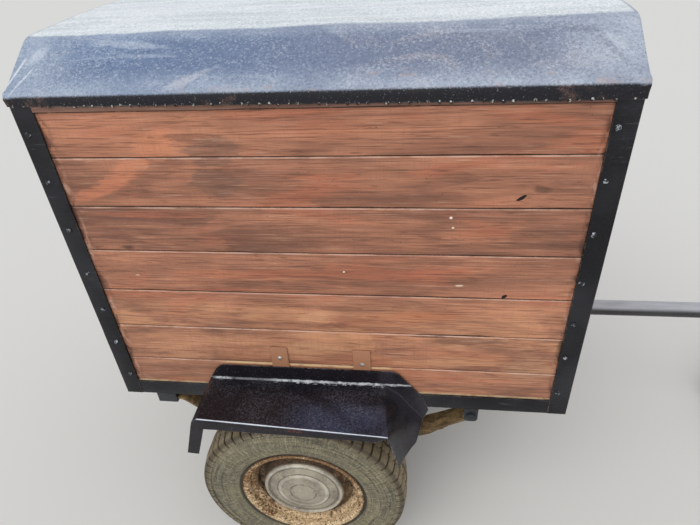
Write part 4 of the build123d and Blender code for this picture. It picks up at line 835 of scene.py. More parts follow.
def timber_finish(name, sizes, turn=(0, 0, 0), bright=None, dark=None, wear=0.42, marks=()):
    """Stained boards, palest low down. A wall with marks also gets smudges at its ends, drips by its edges and a
    painted shadow line under the eave strip.
    """
    net = Finish(name)
    along, _, up = net.axes()
    turned = net.add("ShaderNodeVectorRotate", {"Vector": net.place, "Rotation": turn},
                     rotation_type="EULER_XYZ").outputs[0]
    wood = net.group("Stained timber", Vector=turned, Row_height=BOARD_PITCH, First_row=FLOOR_TOP,
                     Bright=shade(bright) or sizes.stain_bright, Dark=shade(dark) or sizes.stain_dark,
                     Dirt=sizes.groove_dirt)
    lower = net.span(up, FLOOR_TOP + 2.3 * BOARD_PITCH, FLOOR_TOP + 3.1 * BOARD_PITCH, 1.0, 0.0)
    coats = []
    if not bright:
        rubbed = net.noise((6.0, 6.0, 24.0), 4.0, 0.62, 0.5)
        coats += [((192, 112, 82), (net.noise((3.2, 3.0, 15.0), 3.0, 0.6, 0.6), 0.52, 0.64, 0.0, 0.42)),
                  ((218, 158, 118), lower, (up, FLOOR_TOP + 0.08, FLOOR_TOP + 0.14, 0.35, 1.0),
                   (rubbed, 0.40, 0.64, 0.16, 0.66)),
                  ((118, 82, 68), lower, (rubbed, 0.30, 0.44, 0.55, 0.0))]
    coats += net.marks(mark for mark in marks if mark[3] > SMALL_MARK)
    coats += [(tuple(0.42 * value for value in sizes.stain_dark), wood["Grain"], 0.72),
              (sizes.timber_pale, wood["Flecks"], wear),
              (sizes.groove_dirt, wood["Groove"], (lower, 0.0, 1.0, 0.90, 0.45)),
              # Pale line under each groove: a painted highlight on the top arris, partly worn timber.
              ((220, 180, 160), wood["Arris"], (lower, 0.0, 1.0, 0.72, 0.95))]
    if marks:
        smudge = net.noise((60.0, 60.0, 22.0), 4.0, 0.65, 0.6)
        patchy = net.noise((26.0, 26.0, 60.0), 4.0, 0.7, 0.3)
        ends = net.most((along, BOX_REAR + 0.046, BOX_REAR + 0.072, 1.0, 0.0),
                        (along, BOX_FRONT - 0.060, BOX_FRONT - 0.045))
        low_edge, flange = FRAME_LOW + 0.047, FRAME_LOW + 0.124
        coats += [((66, 46, 40), ends, (smudge, 0.50, 0.60, 0.12, 0.75)),
                  ((196, 152, 132), ends, (smudge, 0.34, 0.46, 0.85, 0.0)),
                  ((214, 186, 148), (up, low_edge, FRAME_LOW + 0.053, 1.0, 0.0), (patchy, 0.38, 0.56, 0.25, 0.95)),
                  ((222, 190, 142), (up, flange, flange + 0.001), (up, flange + 0.005, flange + 0.009, 1.0, 0.0),
                   (patchy, 0.36, 0.54, 0.15, 0.95), net.near(along, BOX_REAR + 0.515, 0.205, 0.025)),
                  # Dark line just under the eave strip: painted shadow.
                  ((56, 38, 30), net.near(up, WALL_TOP - 0.0165, 0.0012, 0.0014), (patchy, 0.32, 0.50, 0.35, 0.9))]
        coats += net.marks(mark for mark in marks if mark[3] <= SMALL_MARK)
    dust = net.group("Settled dust", Grain=160.0, Blotch=5.0, Amount=0.22, Everywhere=0.10)
    base = net.layers(wood["Colour"], *coats, ((206, 182, 164), dust["Mask"]))
    return net.done((net.minus(wood["Height"], net.times(wood["Grain"], 0.5)), 0.5, 0.0008), Base_Color=base,
                    Roughness=wood["Roughness"], Specular_IOR_Level=0.32)


def painted_finish(name, paint, dusty, rough=0.3, dust=0.45, wear=0.5, bare=None, gloss=0.5, lumps=0.12, crown=None):
    """Brushed paint with settled dust, scuffs and edges worn to bare. crown paints a pale highlight on what looks up.
    """
    net = Finish(name)
    paint, dusty = shade(paint), shade(dusty)
    thin = tuple(0.86 * value + 0.14 * other for value, other in zip(paint, dusty))
    scuff = net.group("Scuffs", Amount=0.35)["Mask"]
    edge = net.group("Worn edges", Radius=0.0025, Amount=wear)["Mask"]
    settled_dust = net.group("Settled dust", Amount=dust)["Mask"]
    coats = [(thin, (net.noise(5.0, 3.0), 0.35, 0.7)), (dusty, scuff), (bare or dusty, edge), (dusty, settled_dust)]
    # A painted highlight on the faces that look up.
    if crown:
        streak = net.noise((7.0, 60.0, 60.0), 4.0, 0.6, 0.3)
        coats.append((crown, (net.facing_up(), 0.15, 0.75), (streak, 0.25, 0.62, 0.75, 1.0)))
    fine = net.noise(90.0, 4.0, 0.6)
    matt = net.times(net.most(settled_dust, scuff), 0.45)
    height = net.plus(net.times(net.noise(34.0, 3.0, 0.5), 2.2), fine)
    return net.done((net.minus(height, net.times(edge, 0.8)), lumps, 0.0012), Base_Color=net.layers(paint, *coats),
                    Roughness=net.plus(matt, (fine, 0.3, 0.7, rough - 0.05, rough + 0.1)), Specular_IOR_Level=gloss)


def metal_finish(name, tint, dull, rough=0.38, metallic=0.85, dirt=0.5, rust=0.0, grain=24.0):
    """Plated or bare metal, dulled by dirt and spotted by rust."""
    net = Finish(name)
    broad, fine = net.noise(grain, 4.0, 0.6), net.noise(190.0, 4.0, 0.65)
    dirty = net.maths("MULTIPLY", (net.plus(broad, net.times(fine, 0.4)), 0.55, 0.85), dirt, clamp=True)
    start = 0.80 - 0.3 * rust
    spots = net.times((net.plus(broad, net.times(fine, 0.6)), start, start + 0.18), rust)
    hidden = net.most(dirty, spots)
    base = net.layers(shade(tint), (dull, dirty), ((0.18, 0.06, 0.02), spots))
    return net.done((fine, 0.15, 0.0005), Base_Color=base, Metallic=net.times(net.minus(1.0, hidden), metallic),
                    Roughness=net.plus(rough, net.times(hidden, 0.4)))


def roof_finish(sizes):
    """Dark sheet with a painted slate-blue sky reflection and granular texture on its slopes, painted near-white glare
    on the crown, black on its skirts.
    """
    net = Finish("Roof covering")
    along, _, up = net.axes()
    worm = net.noise((210.0, 230.0, 230.0), 2.0, 0.6, 0.9)
    grain = net.noise(320.0, 3.0, 0.75)
    streak = net.noise((2.6, 24.0, 24.0), 4.0, 0.6, 0.8)
    blotch = net.noise(3.4, 4.0, 0.60, 0.6)
    cloud = net.noise((5.5, 9.0, 9.0), 4.0, 0.62, 0.9)
    # Lighter near the knee, low on the slopes and towards both ends: painted reflection.
    knee = net.span(up, WALL_TOP + 0.082, WALL_TOP + 0.100, 0.0, 0.45)
    low = net.span(up, WALL_TOP + 0.020, WALL_TOP + 0.054, 0.58, 0.0)
    ends = net.most((along, BOX_MIDDLE - 0.56, BOX_MIDDLE - 0.42, 0.55, 0.0),
                    (along, BOX_MIDDLE + 0.38, BOX_MIDDLE + 0.56, 0.0, 0.62))
    pink = net.times(net.near(up, WALL_TOP + 0.028, 0.008, 0.010), (net.noise((14.0, 20.0, 30.0), 3.0), 0.56, 0.66))
    # The crown's near-white tone is painted glare, broken by grain.
    crown = net.layers(linear(196, 203, 206), (sizes.crown_glare, (streak, 0.30, 0.62)),
                       ((150, 164, 176), (worm, 0.36, 0.47, 0.58, 0.0)),
                       ((248, 250, 250), (worm, 0.52, 0.62, 0.0, 0.6)))
    # The slopes' slate-blue tones are painted sky reflection over the black sheet. The marks add painted shade and
    # highlights.
    slope = net.layers(
        sizes.rear_slope_reflection, (sizes.front_slope_reflection, (along, BOX_MIDDLE - 0.35, BOX_MIDDLE + 0.30)),
        ((92, 106, 136), (blotch, 0.42, 0.60, 0.45, 0.0)),
        ((162, 158, 164), (cloud, 0.50, 0.66), (along, BOX_MIDDLE - 0.20, BOX_MIDDLE + 0.30, 0.06, 0.60)),
        ((182, 192, 206), net.most(knee, low, ends), (cloud, 0.28, 0.58, 0.45, 1.0)),
        ((184, 194, 208), (streak, 0.57, 0.67, 0.0, 0.35)), *net.marks(ROOF_PAINTED_LIGHT),
        ((62, 76, 106), (worm, 0.36, 0.48, 0.34, 0.0)),
        ((200, 208, 220), (worm, 0.53, 0.64), (cloud, 0.35, 0.62, 0.18, 0.42)),
        ((222, 228, 234), (grain, 0.60, 0.68), (cloud, 0.45, 0.65, 0.1, 0.6)),
        ((176, 160, 160), pink, (along, BOX_MIDDLE - 0.35, BOX_MIDDLE), 0.5),
        (crown, (net.facing_up(), 0.960, 0.9985)))
    # The skirts keep the sheet's black with rust patches. Their pale specks are painted glints.
    skirt = net.layers(sizes.black, ((110, 84, 74), (cloud, 0.54, 0.64), (grain, 0.44, 0.56, 0.1, 0.6)),
                       ((160, 158, 160), (grain, 0.63, 0.70), 0.6))
    ragged = net.plus(up, net.times(net.minus(grain, 0.5), 0.006))
    rubbed = net.group("Worn edges", Radius=0.003, Breakup=60.0, Amount=0.35)
    base = net.layers(skirt, (slope, (ragged, WALL_TOP + 0.0135, WALL_TOP + 0.0185)),
                      ((200, 202, 204), rubbed["Mask"]))
    return net.done((net.plus(net.times(grain, 0.5), net.times(worm, 1.2)), 0.5, 0.0010), Base_Color=base,
                    Roughness=net.span(worm, 0.3, 0.7, 0.38, 0.60), Specular_IOR_Level=0.30)


def guard_finish(sizes):
    """Mudguard paint with a fine haze, a painted bluish sky reflection mid-panel, chips along the wall crease and a
    bright line worn on the outer fold.
    """
    net = Finish("Mudguard paint")
    along, across, up = net.axes()
    out = net.maths("ABSOLUTE", across)
    top = FRAME_LOW + sizes.top_rise
    rear, front = BOX_REAR + sizes.rear_setback, BOX_REAR + sizes.front_setback
    widening = (sizes.front_outreach - sizes.rear_outreach) / (front - rear)
    edge_y = net.plus(net.times(net.minus(along, rear), widening), HALF_WIDTH + sizes.rear_outreach)
    beyond = net.minus(out, edge_y)
    grain = net.noise(260.0, 4.0, 0.8)
    cloud = net.noise((7.0, 11.0, 9.0), 4.0, 0.6, 0.6)
    flakes = net.noise((75.0, 110.0, 110.0), 5.0, 0.7)
    on_panel = net.near(up, top, 0.004, 0.003)
    # Painted bluish sky reflection on the middle of the top panel. It also lifts the haze there.
    sky_reflection = net.times((along, rear + 0.18, rear + 0.30), (beyond, -0.120, -0.045), on_panel)
    zones = net.most((along, rear + 0.13, rear + 0.20, 0.0, 1.0), net.near(along, rear + 0.028, 0.016, 0.012))
    crease = net.times(net.near(up, top + 0.0014, 0.0020, 0.0010), net.near(out, HALF_WIDTH + 0.0030, 0.0026, 0.0012))
    chips = net.times(net.near(up, top + 0.001, 0.0036, 0.0020), net.near(out, HALF_WIDTH + 0.004, 0.0050, 0.0030),
                      (flakes, 0.55, 0.59), zones)
    thin = net.times(crease, (flakes, 0.36, 0.52, 0.20, 0.85), (zones, 0.0, 1.0, 0.35, 1.0))
    ridge = net.times(net.near(beyond, -0.0004, 0.0018, 0.0012), net.near(up, top - 0.0004, 0.0018, 0.0012),
                      (flakes, 0.28, 0.42, 0.60, 1.0))
    bare = net.most(ridge, net.group("Worn edges", Radius=0.002, Breakup=120.0, Amount=0.55)["Mask"])
    base = net.layers(
        sizes.paint, ((30, 26, 32), (cloud, 0.35, 0.65)), ((52, 64, 92), sky_reflection, (cloud, 0.3, 0.6, 0.10, 0.60)),
        (sizes.haze, (grain, 0.46, 0.64), on_panel,
         net.plus((cloud, 0.42, 0.64, 0.06, 0.42), net.times(sky_reflection, 0.22))),
        ((150, 146, 148), (grain, 0.63, 0.67), 0.55),
        ((64, 62, 70), net.near(along, front + 0.06, 0.05, 0.03), (cloud, 0.40, 0.60, 0.2, 0.8), 0.5),
        ((112, 66, 44), net.near(along, rear + 0.245, 0.014, 0.010), net.near(up, top - 0.008, 0.006, 0.004),
         net.near(beyond, 0.0, 0.003, 0.002), (grain, 0.40, 0.62, 0.0, 0.6)),
        (sizes.chip, net.most(chips, thin)), (sizes.bare_edge, bare))
    height = net.plus(net.times(grain, 0.4), net.times(net.noise(38.0, 4.0, 0.6), 1.8))
    return net.done((net.minus(height, net.times(chips, 1.2)), 0.32, 0.0010), Base_Color=base,
                    Metallic=net.times(bare, 0.4), Roughness=net.span(grain, 0.3, 0.7, 0.20, 0.44),
                    Specular_IOR_Level=0.24)


def wheel_space(net, side):
    """Distance from the axle line, and how far ahead of it and above it."""
    ahead, _, rise = net.axes(net.vector("SUBTRACT", net.place, tuple(wheel_centre(side))))
    return net.maths("SQRT", net.plus(net.times(ahead, ahead), net.times(rise, rise))), ahead, rise


def tyre_finish(name, sizes, side):
    """Dusty rubber: concentric film on the sidewall, a fine serrated band, dried mud on the tread blocks, and painted
    shade low between the blocks and where the tyre meets the rim.
    """
    net = Finish(name)
    radius, ahead, rise = wheel_space(net, side)
    turn = net.maths("ARCTAN2", ahead, rise)
    polar = net.add("ShaderNodeCombineXYZ", {0: net.times(net.maths("SINE", turn), 0.16),
                                             1: net.times(net.maths("COSINE", turn), 0.16), 2: radius}).outputs[0]
    arcs = net.noise((9.0, 9.0, 170.0), 4.0, 0.65, 0.3, polar)
    scuffs = net.noise((380.0, 380.0, 40.0), 3.0, 0.7, 0.2, polar)
    blotch = net.noise(12.0, 4.0, 0.6)
    grain = net.noise(200.0, 5.0, 0.85)
    caked = net.plus(blotch, net.times(grain, 0.5))
    base = net.layers(
        sizes.rubber, (sizes.moss, (arcs, 0.40, 0.62, 0.15, 1.0), (blotch, 0.30, 0.62, 0.35, 1.0)),
        ((166, 158, 132), (scuffs, 0.52, 0.66, 0.0, 0.55)), ((60, 56, 46), (scuffs, 0.34, 0.46, 0.60, 0.0)),
        ((62, 58, 46), (arcs, 0.34, 0.45, 0.75, 0.0)),
        (sizes.mud, (radius, TYRE_RADIUS - 0.030, TYRE_RADIUS - 0.010), (caked, 0.55, 0.85, 0.35, 1.0), 0.8),
        ((204, 196, 170), (grain, 0.55, 0.63, 0.0, 0.38)), ((44, 41, 34), (grain, 0.37, 0.45, 0.42, 0.0)),
        # Darker down in the tread between the blocks, and a dark ring where the tyre meets the rim: painted shade.
        ((34, 31, 26), (radius, TYRE_RADIUS - 0.0085, TYRE_RADIUS - 0.0035, 1.0, 0.0),
         (radius, TYRE_RADIUS - 0.024, TYRE_RADIUS - 0.012), 0.65),
        ((40, 34, 28), net.near(radius, RIM_RADIUS + 0.001, 0.0035, 0.003), 0.8))
    rings = net.times(net.maths("PINGPONG", net.times(radius, 300.0), 1.0),
                      net.near(radius, RIM_RADIUS + 0.026, 0.006, 0.006), 0.5)
    teeth = net.times(net.maths("SINE", net.times(turn, 230.0)),
                      net.near(radius, RIM_RADIUS + 0.052, 0.006, 0.001), 0.55)
    return net.done((net.plus(rings, teeth, scuffs, net.times(grain, 0.6)), 0.55, 0.0010), Base_Color=base,
                    Roughness=net.span(blotch, 0.3, 0.7, 0.72, 0.92))


def rim_finish(name, sizes, side):
    """Old cream paint that rust has broken through in fine scabs, darkest in the dish, where the dark rust also carries
    painted shade.
    """
    net = Finish(name)
    radius, _, rise = wheel_space(net, side)
    broad = net.noise(22.0, 4.0, 0.62, 0.6)
    fine = net.noise(130.0, 5.0, 0.78, 0.5)
    speck = net.noise(215.0, 4.0, 0.8)
    kept = net.plus(net.times(broad, 0.75), net.times(fine, 0.95), (rise, -0.17, 0.10, 0.13, -0.11))
    painted = net.span(kept, 0.80, 0.88)
    # The dish is darkened with dark rust and painted shade, and keeps less cream.
    dished = net.span(radius, RIM_RADIUS - 0.040, RIM_RADIUS - 0.020, 1.0, 0.0)
    rust = net.layers(sizes.rust, ((158, 116, 72), (fine, 0.40, 0.58)),
                      ((44, 34, 28), (speck, 0.50, 0.57, 0.0, 0.80)), ((196, 160, 116), (speck, 0.38, 0.45, 0.75, 0.0)),
                      (sizes.dish_rust_and_shade, dished, (broad, 0.3, 0.65, 0.95, 0.6)))
    cream = net.layers(sizes.rim_cream, ((240, 220, 184), (speck, 0.40, 0.47, 0.8, 0.0)),
                       ((92, 64, 42), (speck, 0.52, 0.57, 0.0, 0.88)))
    base = net.layers(rust, (cream, painted, net.minus(1.0, net.times(dished, 0.62))),
                      # Dark ring at the flange's edge, where it meets the tyre: painted shade.
                      ((48, 34, 26), net.near(radius, RIM_RADIUS - 0.0005, 0.0022, 0.0015), 0.75))
    return net.done((net.plus(net.times(painted, 0.8), fine), 0.6, 0.0010), Base_Color=base,
                    Roughness=net.span(painted, 0.0, 1.0, 0.85, 0.62))


def cap_finish(name, sizes, side):
    """Plated cap gone dull and warm, with painted highlights on its rings, grime in its grooves and small rust spots.
    """
    net = Finish(name)
    share = net.maths("DIVIDE", wheel_space(net, side)[0], CAP_RADIUS)
    broad = net.noise(21.0, 3.0, 0.55, 0.2)
    fine = net.noise(150.0, 5.0, 0.8)
    grime = net.most(net.near(share, 0.868, 0.014, 0.020), net.near(share, 0.66, 0.008, 0.016),
                     net.near(share, 0.325, 0.012, 0.016))
    spots = net.times((fine, 0.57, 0.64), (broad, 0.38, 0.56, 0.2, 0.9))
    base = net.layers(
        sizes.cap_metal, ((142, 134, 120), (broad, 0.36, 0.64)),
        # Paler rings: painted highlights.
        ((214, 208, 194), net.most(net.near(share, 0.945, 0.020, 0.020), net.near(share, 0.60, 0.030, 0.020)),
         (broad, 0.35, 0.6, 0.9, 0.35)),
        ((84, 74, 60), grime, (fine, 0.3, 0.6, 0.35, 0.8)), ((218, 214, 202), (fine, 0.34, 0.44, 0.50, 0.0)),
        ((104, 78, 54), spots))
    return net.done((net.plus(fine, net.times(broad, 2.0)), 0.25, 0.0010), Base_Color=base,
                    Metallic=net.times(net.minus(1.0, net.most(grime, spots)), 0.4),
                    Roughness=net.span(fine, 0.3, 0.7, 0.30, 0.54))


def spring_finish():
    """Spring leaves under tan dirt and rust."""
    net = Finish("Rusty spring steel")
    broad = net.noise((9.0, 40.0, 60.0), 5.0, 0.66, 0.4)
    fine = net.noise(180.0, 5.0, 0.7)
    base = net.layers(linear(84, 66, 42), ((142, 116, 76), (broad, 0.38, 0.64)),
                      ((50, 38, 28), (fine, 0.50, 0.66, 0.0, 0.7)), ((186, 162, 118), (fine, 0.32, 0.42, 0.45, 0.0)))
    return net.done((fine, 0.4, 0.0008), Base_Color=base, Roughness=0.82)


# Shapes: boards and frame

def lap_outline(row, low, high, sizes):
    """One board's section as (depth behind the face, height), counter-clockwise, with worn arrises."""
    thick, front_lip, back_lip = 0.020, 0.00975, 0.01025
    bottom = FLOOR_TOP + row * BOARD_PITCH
    top = bottom + BOARD_PITCH
    tongue = top + sizes.lap_height
    notch = bottom + sizes.lap_depth
    start = bottom + sizes.groove
    points = [(0, start), (0, top), (back_lip, top), (back_lip, tongue), (thick, tongue), (thick, notch),
              (front_lip, notch), (front_lip, start)]
    radii = [sizes.arris, sizes.arris, 0, 0.0005, 0.0005, 0, 0, 0.0008]
    if row == 0:
        points = [(0, low)] + points[1:5] + [(thick, low)]
        radii = [0.0008] + radii[1:5] + [0]
    if row == BOARD_ROWS - 1:
        points = [(0, high), (thick, high)] + points[5:] + points[:1]
        radii = [0.0008, 0] + radii[5:] + radii[:1]
    return rounded(points, radii, steps=3)


def lapped_wall(name, sizes, face, into, along, low, high, seed):
    """Boards with their face on a plane. along is (axis, start, end), into is the way of depth."""
    axis, start, end = along
    other = "y" if axis == "x" else "x"
    steps = max(8, round((end - start) / 0.026))
    rows = []
    for row in range(BOARD_ROWS):
        outline = lap_outline(row, low, high, sizes)
        bottom = FLOOR_TOP + row * BOARD_PITCH
        proud = sizes.cupping * 0.5 * (1 + wave(row * 1.7, 0.3, seed, 3))
        rings = []
        for step in range(steps + 1):
            run = start + (end - start) * step / steps
            ring = []
            for depth, height in outline:
                share = (height - bottom) / BOARD_PITCH
                front = max(0.0, 1 - depth / 0.006)
                swell = 0.5 + 0.5 * wave(run * 2.1, share * 1.3, row * 2.3, seed)
                sunk = front * (0.45 * proud + 0.55 * sizes.cupping * swell)
                wander = sizes.edge_wander * wave(run * 7.0, row * 3.1 + round(share), seed, 5) * front
                place = {axis: run, other: face + into * (depth + sunk), "z": height + wander}
                ring.append(Vector((place["x"], place["y"], place["z"])))
            rings.append(ring)
        rows.append(lofted(name, rings))
    return cleaned(joined(name, rows), 42)


def angle_bar(sizes, place, runs, wobble):
    """Angle iron: place(a, b, run) turns a point of the section and a run along the bar into a place."""
    leg, thick, toe = sizes.leg, sizes.thick, sizes.toe_radius
    points = [(0, 0), (leg, 0), (leg, thick), (thick, thick), (thick, leg), (0, leg)]
    outline = rounded(points, [sizes.corner_radius, toe, toe, 0.004, toe, toe], steps=3)
    rings = []
    for run in runs:
        bend = abs(wobble * wave(run * 3.0, 1.0, 2.0, 4))
        rings.append([place(a + bend, b + bend, run) for a, b in outline])
    return lofted("bar", rings)


def post_bars(sizes):
    def post(way, corner, side):
        return angle_bar(sizes, lambda a, b, run: Vector((corner - way * a, side * (HALF_WIDTH - b), run)),
                         stations(FRAME_LOW, WALL_TOP, 0.06), 0.0007)
    return [post(way, corner, side) for way, corner in ENDS for side in (-1, 1)]


def rail_bars(sizes):
    def rail(place, low, high):
        return angle_bar(sizes, place, stations(low, high, 0.05), 0.0008)

    def along_side(side):
        return rail(lambda a, b, run: Vector((run, side * (HALF_WIDTH - a), FRAME_LOW + b)),
                    BOX_REAR + sizes.leg, BOX_FRONT - sizes.leg)

    def along_end(way, corner):
        return rail(lambda a, b, run: Vector((corner - way * a, run, FRAME_LOW + b)),
                    sizes.leg - HALF_WIDTH, HALF_WIDTH - sizes.leg)
    return [along_side(side) for side in (-1, 1)] + [along_end(*end) for end in ENDS]


def screw_spots(sizes):
    """One screw per board on both faces of each post. On the rear posts' sides the row leans."""
    spots = []
    for row in range(BOARD_ROWS):
        middle = FLOOR_TOP + (row + 0.5) * BOARD_PITCH
        share = 1 - row / (BOARD_ROWS - 1)
        for side in (-1, 1):
            for way, corner in ENDS:
                chance = random.Random(f"{row} {side} {way}")
                inset = 0.016 + 0.014 * share if way < 0 else 0.033
                x = corner - way * (inset + chance.uniform(-0.002, 0.002))
                z = middle + chance.uniform(-0.006, 0.006)
                spots.append(spot((x, side * HALF_WIDTH, z), (0, side, 0)))
                y = side * (HALF_WIDTH - sizes.leg * 0.55 - chance.uniform(-0.003, 0.003))
                spots.append(spot((corner, y, z + chance.uniform(-0.004, 0.004)), (way, 0, 0), (0, 1, 0)))
    return spots


# Shapes: roof covering

# Dents as (x, y, half length, half width, height); creases at the corners as (slant, width, height)
ROOF_DENTS = ((0.03, -0.28, 0.10, 0.07, 0.004), (-0.09, -0.20, 0.06, 0.10, 0.003), (-0.95, -0.33, 0.09, 0.05, -0.003))
ROOF_CREASES = ((0.62, 0.006, 0.0030), (1.05, 0.008, 0.0026), (0.30, 0.005, 0.0022))
CREASE_REACH = 0.13
TACK_MARGIN = 0.015


def skirt_foot(sizes, x):
    """Height of the skirt's lower edge, which lifts towards the rear."""
    share = (x - BOX_REAR) / (BOX_FRONT - BOX_REAR)
    return WALL_TOP - sizes.skirt_drop + sizes.skirt_lift * (1 - min(1.0, max(0.0, share * 1.15)))


def roof_section(sizes):
    """Right-hand half of the roof's section from the skirt's foot to the crown, as (y, z)."""
    side = HALF_WIDTH + sizes.thick
    knee = side - sizes.knee_inset
    arc_rise = sizes.crown_rise - sizes.knee_rise
    points = [(side, WALL_TOP - sizes.skirt_drop), (side, WALL_TOP + sizes.eave_rise),
              (knee, WALL_TOP + sizes.knee_rise)]
    steps = 12
    for step in range(1, steps + 1):
        left = 1 - step / steps
        points.append((knee * left, WALL_TOP + sizes.knee_rise + arc_rise * (1 - left ** 2)))
    radii = [0, sizes.eave_radius, sizes.knee_radius] + [0] * steps
    return resampled(rounded(points, radii, steps=7, closed=False), 0.011)


def roof_ripple(sizes, along, y, z):
    """How far the covering stands out at a place: waves, dents, and creases at its four corners."""
    near = 1.0 if z > WALL_TOP + sizes.eave_rise - 0.004 else 0.35
    flat = 1.0 if z > WALL_TOP + sizes.knee_rise - 0.02 else 0.75
    ripple = sizes.sag * flat * near * wave(along * 5.5, y * 5.0, z * 4.0, 8)
    ripple += 0.5 * sizes.sag * near * wave(along * 13.0, y * 16.0, z * 16.0, 9)
    ripple += 0.28 * sizes.sag * wave(along * 34.0, y * 30.0, z * 30.0, 10)
    for centre_x, centre_y, size_x, size_y, depth in ROOF_DENTS:
        reach = ((along - centre_x) / size_x) ** 2 + ((y - centre_y) / size_y) ** 2
        ripple += depth * math.exp(-reach)
    drop = abs(abs(y) - HALF_WIDTH) + (WALL_TOP + sizes.eave_rise - z) * 0.3
    for way, corner in ENDS:
        run = -way * (along - (corner + way * sizes.thick))
        for slant, width, depth in ROOF_CREASES:
            line = (drop - run * slant) / width
            if run < CREASE_REACH and z > WALL_TOP + 0.004:
                ripple += depth * math.exp(-line * line) * max(0.0, 1 - run / CREASE_REACH)
    return ripple


def turned_up(work, weight):
    """Turns a sheet's faces so that the one with most weight looks up."""
    bmesh.ops.recalc_face_normals(work, faces=work.faces)
    if max(work.faces, key=weight).normal.z < 0:
        bmesh.ops.reverse_faces(work, faces=work.faces)


def build_roof_sheet(sizes):
    """The covering: skirts and slopes that ripple, creases at the corners and hems over both ends."""
    half = roof_section(sizes)
    section = [Vector((-y, z)) for y, z in half] + [Vector((y, z)) for y, z in reversed(half[:-1])]
    normals = normals_of(section)
    start, end = BOX_REAR - sizes.thick, BOX_FRONT + sizes.thick
    corner_radius = 0.003
    rings = []

    def ring_at(along, inset, blend=1.0):
        """The section at one place, pushed in by inset, with a share of the ripples."""
        ring = []
        for index, (y, z) in enumerate(section):
            point = section[index] - normals[index] * (inset - blend * roof_ripple(sizes, along, y, z))
            point = Vector((along, point.x, point.y))
            if index in (0, len(section) - 1):
                point.z += skirt_foot(sizes, along) - (WALL_TOP - sizes.skirt_drop)
                point.z += sizes.ragged * (0.6 * wave(along * 40.0, y, 1, 11) + 0.5 * wave(along * 150.0, y, 2, 12))
            ring.append(point)
        return ring

    for way, corner in ((-1, start), (1, end)):
        hem = [ring_at(corner + way * 0.0004, inset, 0.35)
               for inset in (sizes.hem, sizes.hem * 0.66, sizes.hem * 0.33, 0.006)]
        for normal, point in zip(normals, hem[0]):
            y, z = point.y, point.z
            edge = 0.0016 * wave(y * 45, z * 45, 3, 13) + 0.0012 * wave(y * 160, z * 160, 4, 14)
            point.y += normal.x * edge
            point.z += normal.y * edge
        for turn in map(math.radians, (15, 45, 75)):
            hem.append(ring_at(corner - way * corner_radius * (1 - math.cos(turn)),
                               corner_radius * (1 - math.sin(turn)), 0.6))
        rings += hem if way < 0 else reversed(hem)
        if way < 0:
            rings += [ring_at(along, 0.0) for along in stations(start, end, 0.0105)[1:-1]]
    work = bmesh.new()
    work.from_mesh(lofted("roof", rings, closed=False, capped=False))
    turned_up(work, lambda face: face.calc_center_median().z)
    return cleaned(sheeted("roof", mesh_from(work, "roof"), 0.0024), 50, outward=False)


def tack_spots(sizes):
    """Tacks along the skirts' lower edges and round both end hems."""
    spots = []
    run_length = BOX_FRONT - BOX_REAR - 2 * TACK_MARGIN
    count = round(run_length / sizes.tack_spacing)
    for side in (-1, 1):
        chance = random.Random(side)
        for step in range(count + 1):
            x = BOX_REAR + TACK_MARGIN + run_length * step / count + chance.uniform(-0.003, 0.003)
            if chance.random() < 0.05:
                continue
            z = skirt_foot(sizes, x) + chance.uniform(-0.0004, 0.0024)
            y = side * (HALF_WIDTH + sizes.thick - 0.0003)
            spots.append(spot((x, y, z), (0, side, chance.uniform(-0.15, 0.3))))
    line = [point for point in roof_section(sizes) if point.y > WALL_TOP + sizes.eave_rise - 0.01]
    for way, corner in ENDS:
        for side in (-1, 1):
            chance = random.Random(f"{way} {side}")
            for index in range(3, len(line), 4):
                run = (line[index] - line[index - 1]).normalized()
                place = line[index] + Vector((-abs(run.y), -abs(run.x))) * (0.012 + chance.uniform(-0.003, 0.004))
                face = corner + way * (sizes.thick - 0.0002)
                spots.append(spot((face, side * place.x, place.y), (way, 0, 0), (0, 1, 0)))
    return spots


def strip_bars():
    """Timber strips round the top of the boards, under the skirt."""
    low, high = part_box("eave_strips")
    thick, inset = 0.005, 0.045
    meshes = []
    for sign in (-1, 1):
        for axis, reach in (("x", high.x - inset), ("y", HALF_WIDTH - inset)):
            start = low.x + inset if axis == "x" else -reach
            side = HALF_WIDTH if axis == "x" else (high.x if sign > 0 else -low.x)
            rings = []
            for run in stations(start, reach, 0.03):
                foot = low.z + 0.0015 * wave(run * 8, sign, 0, 31)
                face = side - 0.0006 * abs(wave(run * 14, sign, 0, 32))
                points = [(face, foot), (face, high.z), (side - thick, high.z), (side - thick, foot)]
                section = rounded(points, 0.0012, steps=2)
                rings.append([Vector((run, sign * a, z) if axis == "x" else (sign * a, run, z)) for a, z in section])
            meshes.append(lofted("strip", rings))
    return meshes


# Shapes: mudguards. Reaches run forwards and drops run down, from the front fold or the panel's top.

GUARD_FLARE = 0.024
GUARD_REAR_FOLD = (0.016, 0.014)
APRON_INNER = ((0.042, 0.032), (0.105, 0.120))
APRON_OUTER = ((0.033, 0.035), (0.065, 0.160))
APRON_CLIP = (0.4, 0.65)
FLANGE_INSET = 0.021
FLANGE_RADIUS = 0.036
FLANGE_NOSE = ((0.036, 0.047), (0.106, -0.043), (0.118, -0.085))
LIP_REAR_DROP = 0.036
LIP_FRONT_DROP = 0.022
LIP_CUTBACK = 0.024
LEG_SETBACK = 0.0235
LEG_WIDTH = 0.031
LEG_DROP = 0.139
LEG_SLANT_REACH = 0.0115


def between(line, x):
    """Height of a line of (x, z) points at x."""
    for (x0, z0), (x1, z1) in zip(line, line[1:]):
        if x <= x1 + 1e-9:
            return z0 + (z1 - z0) * min(1.0, max(0.0, (x - x0) / (x1 - x0)))
    return line[-1][1]


